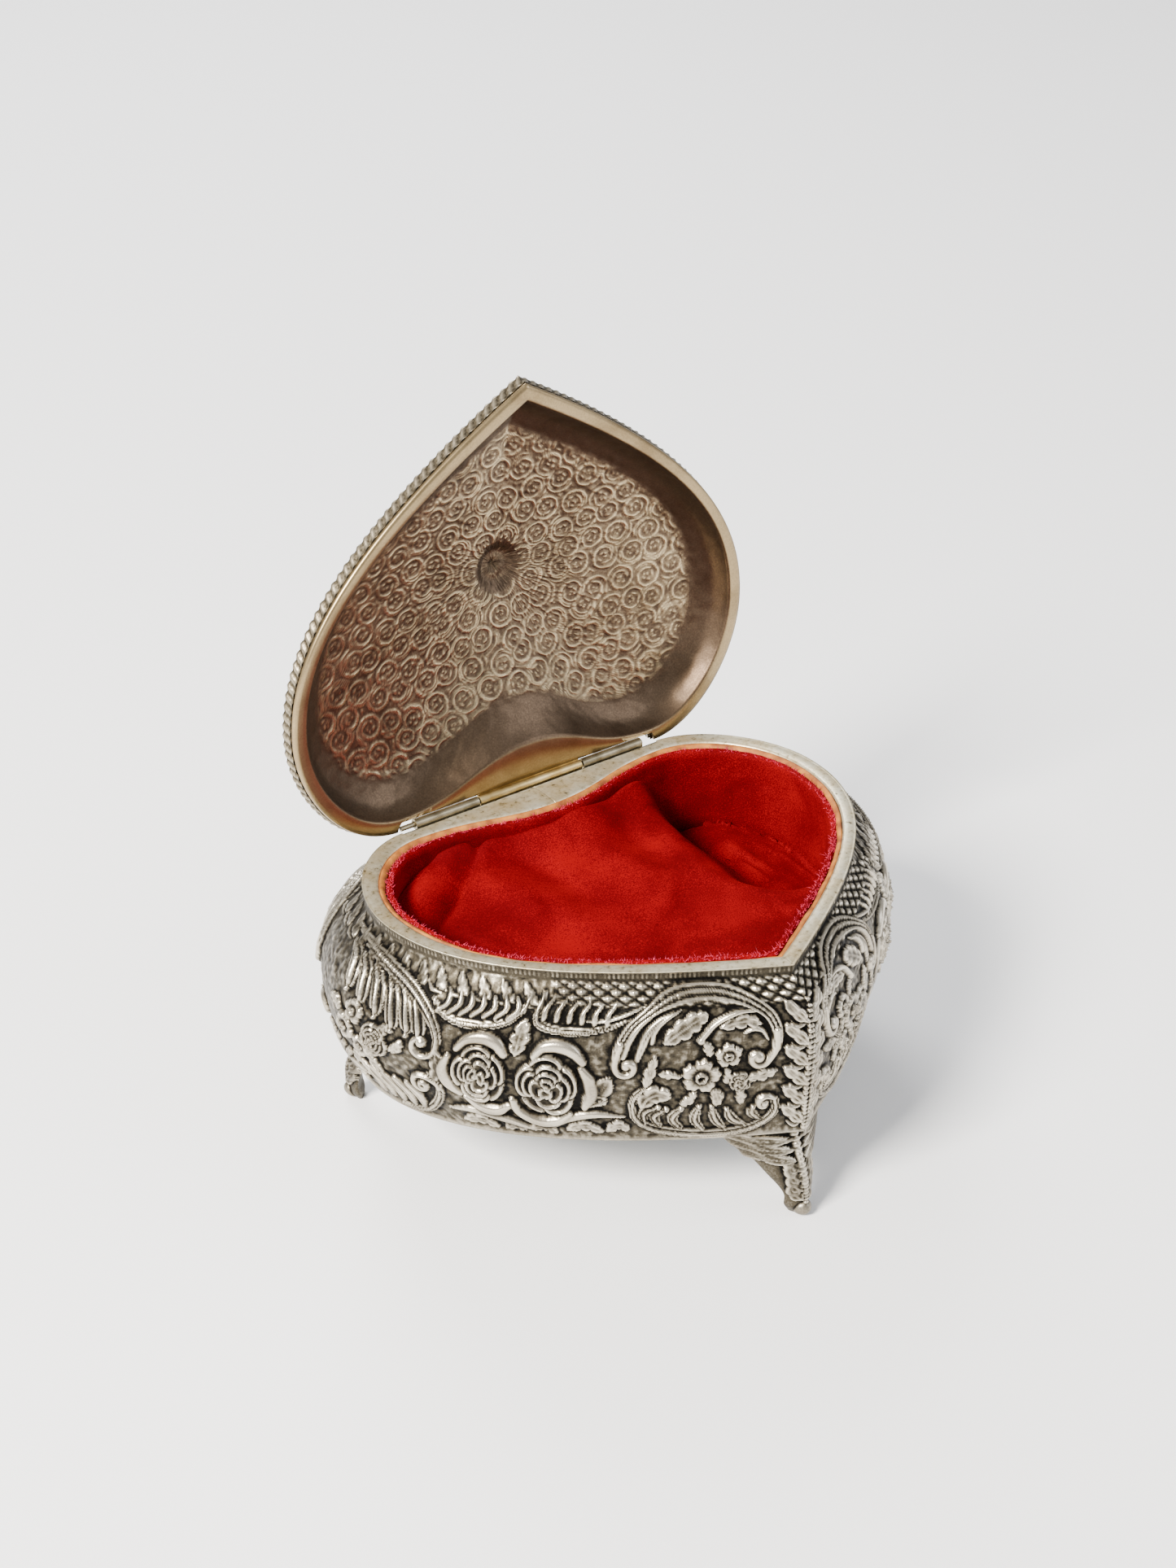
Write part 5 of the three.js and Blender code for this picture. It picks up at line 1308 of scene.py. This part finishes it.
def foot(name, node, turn, reach, spread):
    """One foot; `turn` is the way it faces, `reach` how far its toe stands out, `spread` its width."""
    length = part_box(node)[1].z / MM + 1.2  # from the floor to a little inside the wall
    aim = np.array([math.cos(math.radians(turn)), math.sin(math.radians(turn))])
    side = np.array([-aim[1], aim[0]])
    toe = TOES[node] - aim * 0.2
    t = np.linspace(0, 1, FOOT_DOWN)[:, None]
    around = np.linspace(0, 2 * math.pi, FOOT_AROUND + 1)[None, :]
    run = hermite(t[:, 0], (0, 0.3, 0.62, 0.86, 1), (-reach, -reach * 0.55, -0.4, 0.6, 0.1))[:, None]
    half = hermite(t[:, 0], (0, 0.12, 0.3, 0.55, 0.8, 0.9, 1),
                   (spread, spread * 0.86, spread * 0.64, spread * 0.4, 2.5, 2.5, 1.5))[:, None]
    thick = hermite(t[:, 0], (0, 0.25, 0.6, 0.86, 0.93, 1), (2.6, 2.3, 2.1, 1.7, 2.1, 1.3))[:, None]
    across = np.cos(around) * half
    front = np.sin(around)
    ridge = np.where(front > 0, 1 - 0.35 * np.abs(np.cos(around)), 0.45)
    out = run + front * thick * ridge - np.cos(around) ** 2 * half * BACK_SWEEP[node]
    shape = (FOOT_DOWN, FOOT_AROUND + 1)
    place = np.zeros((*shape, 3))
    place[..., :2] = toe + out[..., None] * aim + across[..., None] * side
    place[..., 2] = length - length * t
    relief = Ornament(np.broadcast_to(across, shape), np.broadcast_to(t * length, shape))
    relief.stroke([(0, 0.8), (0, length * 0.5), (0, length * 0.84)], 1.5, 1.0, ends=(0.9, 0.5))
    for k in range(7):
        for hand in (-1, 1):
            at = np.array([0.5 * hand, length * (0.2 + 0.1 * k)])
            wide = spread * (0.95 - 0.12 * k) if k < 3 else 3.0 - 0.25 * k
            relief.leaf([at, at + (wide * 0.55 * hand, -1.0), at + (wide * hand, -3.4)], 2.3, 0.85,
                        lobes=2)
    relief.dome((0, length * 0.925), 1.55, 0.8)
    height = relief.grid() * (np.broadcast_to(front, shape) > -0.15)
    normals = surface_normals(place)
    mid = np.sign((normals[FOOT_DOWN // 2, FOOT_AROUND // 4, :2] * aim).sum()) or 1
    fade = np.clip((1 - t) / 0.04, 0, 1)
    place += normals * mid * (height * fade)[..., None]
    place[..., 2] = np.maximum(place[..., 2], 0)
    piece = grid_blank(name, *shape)
    own_frame = place - [0, SHIFT_Y, 0]
    write_points(piece, own_frame, closed=True, crest=crest_of(height))
    return settle(close_up(piece), "casket", CASKET_SILVER, node, slot="casket_silver")


foot("front_leaf_foot", "front_foot", -90, 4.6, 12.2)
foot("left_leaf_foot", "left_foot", 139, 7.5, 7.0)
foot("right_leaf_foot", "right_foot", 41, 7.5, 7.0)
print("toes", {k: [round(float(c), 1) for c in v] for k, v in TOES.items()})

# %% [markdown]
# ## The velvet lining
#
# The floor of the lining is one loose piece of velvet. It lies over the box of the movement, which
# fills the left of the heart, and hangs into the deep well at its right. Its edge is glued under
# the velvet of the wall. It is cut a little too large, as on the real object. Folds could be
# sculpted, but they would not hang as cloth does, so a simulation lets the spare material fall
# over this hidden shape. The grid runs in columns from the flank to the back of the lobes, so that
# no cell is pinched in the middle.

# %% Shape below the cloth
LINING_INSET = 2.55
PLATEAU_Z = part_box("floor_velvet")[1].z / MM - 0.9
WELL_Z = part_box("floor_velvet")[0].z / MM + 1.6
LINING_HALF = half_heart(*([-RIM_INSET - RIM_WIDTH - LINING_INSET] * 3), -LEDGE_WIDTH - LINING_INSET)
WIDEST = int(LINING_HALF[:, 0].argmax())


def ridge(x, y, start, end, width, height):
    """Soft ridge, or a valley if the height is negative, along a line on the floor."""
    start, end = np.array(start, float), np.array(end, float)
    run = end - start
    t = np.clip(((x - start[0]) * run[0] + (y - start[1]) * run[1]) / (run @ run), 0, 1)
    away = np.hypot(x - start[0] - t * run[0], y - start[1] - t * run[1])
    return height * np.exp(-(away / width) ** 2) * np.sin(math.pi * (0.12 + 0.76 * t))


def below_cloth(x, y):
    """Height of the tray under the velvet, with the pads that hold up its largest folds."""
    left = np.interp(y, (-16, -8, 8, 40), (19, 17, 20, 25))
    front = np.interp(x, (15, 21, 60), (-12, -15, -17))
    well = 1 / (1 + np.exp(-(x - left) / 0.9)) / (1 + np.exp(-(y - front) / 1.1))
    z = PLATEAU_Z + (WELL_Z - PLATEAU_Z) * well
    z += ridge(x, y, (-14, 29), (-37, 9), 1.1, -3.6) + ridge(x, y, (-21, 30), (-41, 14), 3.4, 2.2)
    z += ridge(x, y, (-23, 27), (-16, -6), 4.2, 1.5) + ridge(x, y, (-12, 26), (-9, 0), 3.2, -1.3)
    z += ridge(x, y, (3, 27), (2, -4), 4.4, 1.5) + ridge(x, y, (12, 26), (9, 4), 3.0, -1.0)
    z += ridge(x, y, (39, 26), (29, 4), 3.0, 1.8) + ridge(x, y, (31, 30), (26, 12), 2.2, -1.0)
    rear = np.interp(-np.abs(x), -LINING_HALF[WIDEST:, 0], LINING_HALF[WIDEST:, 1])
    climb = np.clip((y - rear + 9) / 9, 0, 1) ** 2 * (1 - well)
    return z + 4.4 * climb * np.clip((x + 27) / 8, 0, 1)


def floor_points(columns, rows, margin=0.0):
    """Grid of plan points: columns across the heart, each from its flank to its back."""
    x = (LINING_HALF[WIDEST, 0] - 0.05) * np.sin(np.linspace(-1, 1, columns) * math.pi / 2 * 0.97)
    low = np.interp(np.abs(x), LINING_HALF[:WIDEST, 0], LINING_HALF[:WIDEST, 1]) - margin
    high = np.interp(-np.abs(x), -LINING_HALF[WIDEST:, 0], LINING_HALF[WIDEST:, 1]) + margin
    t = np.linspace(0, 1, rows)[:, None]
    return np.broadcast_to(x, (rows, columns)).copy(), low + (high - low) * t


print("well is", round(PLATEAU_Z - WELL_Z, 1), "mm deep")

# %% [markdown]
# ## Letting the cloth fall
#
# Velvet is heavy for its stiffness: it stretches little, bends easily and does not bounce. The
# sheet starts a little above the tray with its edge pinned, is 7 percent too large, and settles in
# twenty steps. A Subdivision Surface modifier then rounds the folds, and Solidify gives the cloth
# its thickness.

# %% Cloth simulation
SPARE_CLOTH = 0.07
FALL_STEPS = 20


def drape(sheet, support, pinned):
    """Cloth simulation over a hidden support. Its result becomes the mesh."""
    group = sheet.vertex_groups.new(name="glued")
    group.add([int(i) for i in pinned], 1.0, "REPLACE")
    support.modifiers.new("stop", "COLLISION")
    support.collision.thickness_outer = 0.6 * MM
    support.collision.cloth_friction = 12
    cloth = sheet.modifiers.new("cloth", "CLOTH")
    cloth.settings.quality = 5
    cloth.settings.mass = 0.02
    cloth.settings.tension_stiffness = cloth.settings.compression_stiffness = 12
    cloth.settings.shear_stiffness = 4
    cloth.settings.bending_stiffness = 0.02
    cloth.settings.air_damping = 3
    cloth.settings.shrink_min = -SPARE_CLOTH
    cloth.settings.vertex_group_mass = "glued"
    cloth.collision_settings.distance_min = 0.001
    cloth.collision_settings.use_self_collision = False
    scene = bpy.context.scene
    for step in range(1, FALL_STEPS + 1):
        scene.frame_set(step)
    bpy.ops.object.select_all(action="DESELECT")
    bpy.context.view_layer.objects.active = sheet
    sheet.select_set(True)
    bpy.ops.object.modifier_apply(modifier="cloth")
    scene.frame_set(1)
    sheet.select_set(False)


# %% Velvet of the floor
CLOTH_THICK = 0.8
CLOTH_COLUMNS, CLOTH_ROWS = 84, 63


def velvet_floor():
    """The draped sheet, and its area before it gets its thickness."""
    columns, rows = CLOTH_COLUMNS, CLOTH_ROWS
    x, y = floor_points(columns, rows)
    z = below_cloth(x, y)
    lift = np.minimum(np.minimum(np.arange(rows), np.arange(rows)[::-1])[:, None],
                      np.minimum(np.arange(columns), np.arange(columns)[::-1])[None, :])
    start = z + 1.3 + 1.6 * np.clip(lift / 6, 0, 1)
    sheet = grid_blank("velvet_floor", rows, columns)
    write_points(sheet, np.stack([x, y, start], -1))
    support = grid_blank("tray_under_velvet", rows, columns)
    sx, sy = floor_points(columns, rows, margin=0.6)
    write_points(support, np.stack([sx, sy, below_cloth(sx, sy)], -1))
    drape(sheet, support, np.flatnonzero((lift == 0).ravel()))
    bpy.data.objects.remove(support)
    co = np.zeros(len(sheet.data.vertices) * 3, np.float32)
    sheet.data.vertices.foreach_get("co", co)
    co = co.reshape(-1, 3)
    tray = z.ravel() * MM
    co[:, 2] = np.clip(co[:, 2], tray, tray + 2.6 * MM)  # no fold sinks in or stands too high
    sheet.data.vertices.foreach_set("co", co.ravel())
    sheet.data.update()
    area = sum(f.area for f in sheet.data.polygons)
    for kind, settings in (("SUBSURF", {"levels": 1, "render_levels": 1}),
                           ("SOLIDIFY", {"thickness": CLOTH_THICK * MM, "offset": -1.0})):
        finish = sheet.modifiers.new(kind, kind)
        for key, value in settings.items():
            setattr(finish, key, value)
        bpy.context.view_layer.objects.active = sheet
        bpy.ops.object.modifier_apply(modifier=kind)
    bpy.ops.object.select_all(action="DESELECT")
    sheet.select_set(True)
    bpy.ops.object.shade_smooth()
    sheet.select_set(False)
    settle(sheet, "casket", VELVET, "floor_velvet", "floor_card", slot="velvet")
    return sheet, area


velvet_sheet, cloth_area = velvet_floor()
print("cloth area in square cm:", round(cloth_area * 1e4, 1))

# %% [markdown]
# ## The velvet of the wall, its cut edge and the glue line
#
# A band of the same velvet is glued round the inside of the wall. Its top edge is cut, so the pile
# frays into a fringe, painted light pink for the sheen that pile shows when seen across, and an uneven
# line of amber glue shows between the velvet and the rim.
# A circle given a bevel would make an even tube. Here a section, listed point by point, is carried round
# the heart instead, and slow waves move it in plan and in height, as a hand that glues card and cloth
# does.

# %% Bands round the heart
def slow_noise(length, waves, seed):
    """Smooth random curve round the heart that ends where it starts."""
    own = np.random.default_rng(seed)
    t = np.linspace(0, 2 * math.pi, length)
    total = sum(own.normal() * np.cos(k * t + own.uniform(0, 6.28)) / k ** 0.5 for k in range(1, waves))
    return total / np.abs(total).max()


def lining_ring(inset, columns):
    """Whole outline of the lining, moved in by `inset` from the inner edge of the rim."""
    at = -RIM_INSET - RIM_WIDTH - inset
    half = along(half_heart(at, at, at, -LEDGE_WIDTH - inset), np.linspace(0, 1, columns // 2 + 1))
    return np.vstack([half, (half[::-1] * [-1, 1])[1:]])


def ring_piece(name, profile, columns, wobble_in, wobble_up):
    """Closed band round the heart. `profile` lists (inset, height) round its section; the wobbles
    are arrays of rows x columns that move it in plan and in height."""
    rings = []
    for (inset, z), inwards, upwards in zip(profile, wobble_in, wobble_up):
        shape = lining_ring(inset, columns)
        pull = -shape / np.linalg.norm(shape, axis=1, keepdims=True)
        ring = np.zeros((columns + 1, 3))
        ring[:, :2] = shape + pull * inwards[:, None]
        ring[:, 2] = z + upwards
        rings.append(ring)
    place = np.stack([*rings, rings[0]])
    piece = grid_blank(name, *place.shape[:2])
    write_points(piece, place, closed=True, crest=0.5)
    return close_up(piece)


print("lining is", round(float(np.ptp(lining_ring(0, 400)[:, 0])), 1), "mm wide at the rim")


# %% Velvet of the wall
def wall_band():
    """Padded band of velvet: flat at the card behind it, waved on the side that shows."""
    columns = 560
    profile = ([(1.25, 31.0), (1.2, 40.0), (1.15, 49.6), (1.45, 50.3), (2.0, 50.45), (2.55, 50.1)]
               + [(2.8, z) for z in np.linspace(49.4, 41.0, 14)] + [(2.7, 36.0), (2.6, 31.0)])
    inward = np.zeros((len(profile), columns + 1))
    upward = np.zeros_like(inward)
    for k, (inset, z) in enumerate(profile):
        if inset > 1.3:  # the side that shows
            depth = np.clip((50.5 - z) / 5, 0, 1)
            inward[k] = (0.45 * depth * slow_noise(columns + 1, 26, 5) * (1 - 0.4 * depth)
                         + 0.22 * depth * slow_noise(columns + 1, 60, 60 + k // 3))
        if z > 49:  # the cut edge
            upward[k] = 0.22 * slow_noise(columns + 1, 130, 9)
    band = ring_piece("velvet_band", profile, columns, inward, upward)
    return settle(band, "casket", VELVET, "wall_velvet", slot="velvet")


wall_velvet_band = wall_band()


# %% Glue line
def glue_line():
    """Flat bead of glue on the card's edge, uneven in width and height."""
    columns = 520
    profile = [(0.0, 49.0), (-0.05, 50.45), (0.15, 50.75), (0.5, 50.7), (0.95, 50.4), (1.4, 49.0)]
    wide = slow_noise(columns + 1, 40, 21)
    inward = np.outer((0, 0.25, 0.25, 0.3, 0.45, 0), wide)
    upward = np.outer((0, 0.12, 0.16, 0.18, 0.1, 0), wide)
    glue = ring_piece("glue_line", profile, columns, inward, upward)
    settle(glue, "casket", GLUED_CARD, "wall_card", slot="card")


glue_line()

# %% [markdown]
# ## Fringe of cut pile
#
# Where velvet is cut, loose fibres of the pile stand up from the edge and catch the light, and their
# light pink colour is that sheen, painted in. Hair curves would have to be turned into meshes anyway, so
# each fibre is a thin spike with four faces, rooted at random along the edge and leaning its own way.

# %% Pile fringe
FIBRES, FIBRE_THICK = 2600, 0.07


def pile_fringe():
    """Loose pile fibres along the cut edge, each a thin three-sided spike."""
    ring = lining_ring(1.7, 2000)
    points, faces = [], []
    for _ in range(FIBRES):
        spot = ring[rng.integers(0, 2000)]
        inwards = -spot / np.linalg.norm(spot)
        root = np.array([*(spot + inwards * rng.uniform(-0.5, 0.75)), 50.2])
        lean = np.array([*(inwards * rng.normal(0, 0.5) + rng.normal(0, 0.35, 2)),
                         rng.uniform(0.25, 0.9)])
        tip = root + lean * rng.uniform(0.35, 0.95)
        side = np.cross(lean, (0.3, 0.5, 0.1))
        side = side / np.linalg.norm(side) * FIBRE_THICK
        other = np.cross(lean, side)
        other = other / np.linalg.norm(other) * FIBRE_THICK
        n = len(points)
        points += [root + side, root - 0.5 * side + other, root - 0.5 * side - other, tip]
        faces += [(n, n + 1, n + 3), (n + 1, n + 2, n + 3), (n + 2, n, n + 3), (n + 2, n + 1, n)]
    mesh = bpy.data.meshes.new("pile_fringe")
    mesh.from_pydata([(p[0] * MM, (p[1] + SHIFT_Y) * MM, p[2] * MM) for p in points], [], faces)
    fringe = bpy.data.objects.new("pile_fringe", mesh)
    bpy.context.scene.collection.objects.link(fringe)
    close_up(fringe, merge=0.0001)
    # The fibres carry the painted-sheen pink, not the velvet's own red.
    settle(fringe, "casket", PILE_FRINGE_PAINTED_SHEEN)


pile_fringe()

# %% Size of the floor velvet
print("floor velvet is cut from", round(2 * LINING_HALF[WIDEST, 0], 1), "x 78 mm")

# %% [markdown]
# ## The hinge
#
# A barrel hinge of three knuckles joins the lid to the casket. The outer two belong to the casket
# and the middle one to the lid, where it is soldered under the golden edge of the notch. The real
# one is rolled from sheet round a pin. The roll can't be seen, so a cylinder with eased ends and a
# bevelled tab, joined into one mesh, are enough.

# %% Middle knuckle
KNUCKLE_R = 1.02 * MM


def eased(width):
    """Bevels the sharp edges of the active object."""
    bevel = bpy.context.object.modifiers.new("bevel", "BEVEL")
    bevel.width, bevel.segments, bevel.limit_method = width * MM, 2, "ANGLE"
    bpy.ops.object.modifier_apply(modifier="bevel")


def middle_knuckle():
    """Barrel and tab of the lid's knuckle."""
    low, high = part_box("lid_hinge_leaf")
    length = high.x - low.x
    bpy.ops.object.select_all(action="DESELECT")
    bpy.ops.mesh.primitive_cylinder_add(vertices=40, radius=KNUCKLE_R, depth=length,
                                        rotation=(0, math.pi / 2, 0))
    knuckle = bpy.context.object
    knuckle.name = "middle_knuckle"
    knuckle.data.transform(Matrix.Translation(HINGE * MM) @ knuckle.matrix_world)
    knuckle.matrix_world = Matrix.Identity(4)
    eased(0.18)
    bpy.ops.mesh.primitive_cube_add(size=1)
    tab = bpy.context.object
    tab.data.transform(Matrix.Translation((HINGE + Vector((0, 0.55, 1.15))) * MM)
                       @ Matrix.Diagonal((length * 0.985, 0.7 * MM, 2.3 * MM, 1)))
    eased(0.15)
    knuckle.select_set(True)
    bpy.context.view_layer.objects.active = knuckle
    bpy.ops.object.join()
    bpy.ops.object.shade_smooth_by_angle(angle=math.radians(35))
    knuckle.select_set(False)
    settle(knuckle, "lid", HINGE_BRASS, "lid_hinge_leaf", slot="hinge_brass")


middle_knuckle()

# %% [markdown]
# ## Finishes on the frame's own parts
#
# The clockwork, the key and the outer knuckles are kept as they are in the frame, and only get the
# finish of the real part: nickel where hands and wear come, zinc on the sheet and cast plates,
# satin brass on wheels and the pinned cylinder, and blued steel where a part has to spring.

# %% Finish on the frame's own parts
CARRIED = {
    HINGE_BRASS: ("lid_hinge_leaf",),
    HINGE_STEEL: ("body_hinge_leaf", "hinge_pin"),
    NICKEL: ("winding_key", "winding_arbor", "brake_lever", "brake_pivot", "drum_arbor",
             "governor_arbor", "worm", "plate_screw_1", "plate_screw_2", "plate_screw_3",
             "movement_screw_1", "movement_screw_2", "movement_screw_3", "comb_screw_1",
             "comb_screw_2"),
    ZINC_PLATE: ("bottom_plate", "bedplate", "spring_housing", "drum_bracket"),
    CLOCK_BRASS: ("great_wheel", "drum", "drum_pinion", "drum_gear", "worm_wheel", "fan",
                  "governor_frame"),
    BLUED_STEEL: ("mainspring", "comb"),
    CASKET_SILVER: ("front_foot", "left_foot", "right_foot", "lid_shell"),
    VELVET: ("wall_velvet", "floor_velvet"),
    GLUED_CARD: ("wall_card", "floor_card"),
}
for finish, names in CARRIED.items():
    for name in names:
        mesh = frame["nodes"][name].data
        mesh.materials.clear()
        mesh.materials.append(finish)
print("carried parts:", sum(len(n) for n in CARRIED.values()))
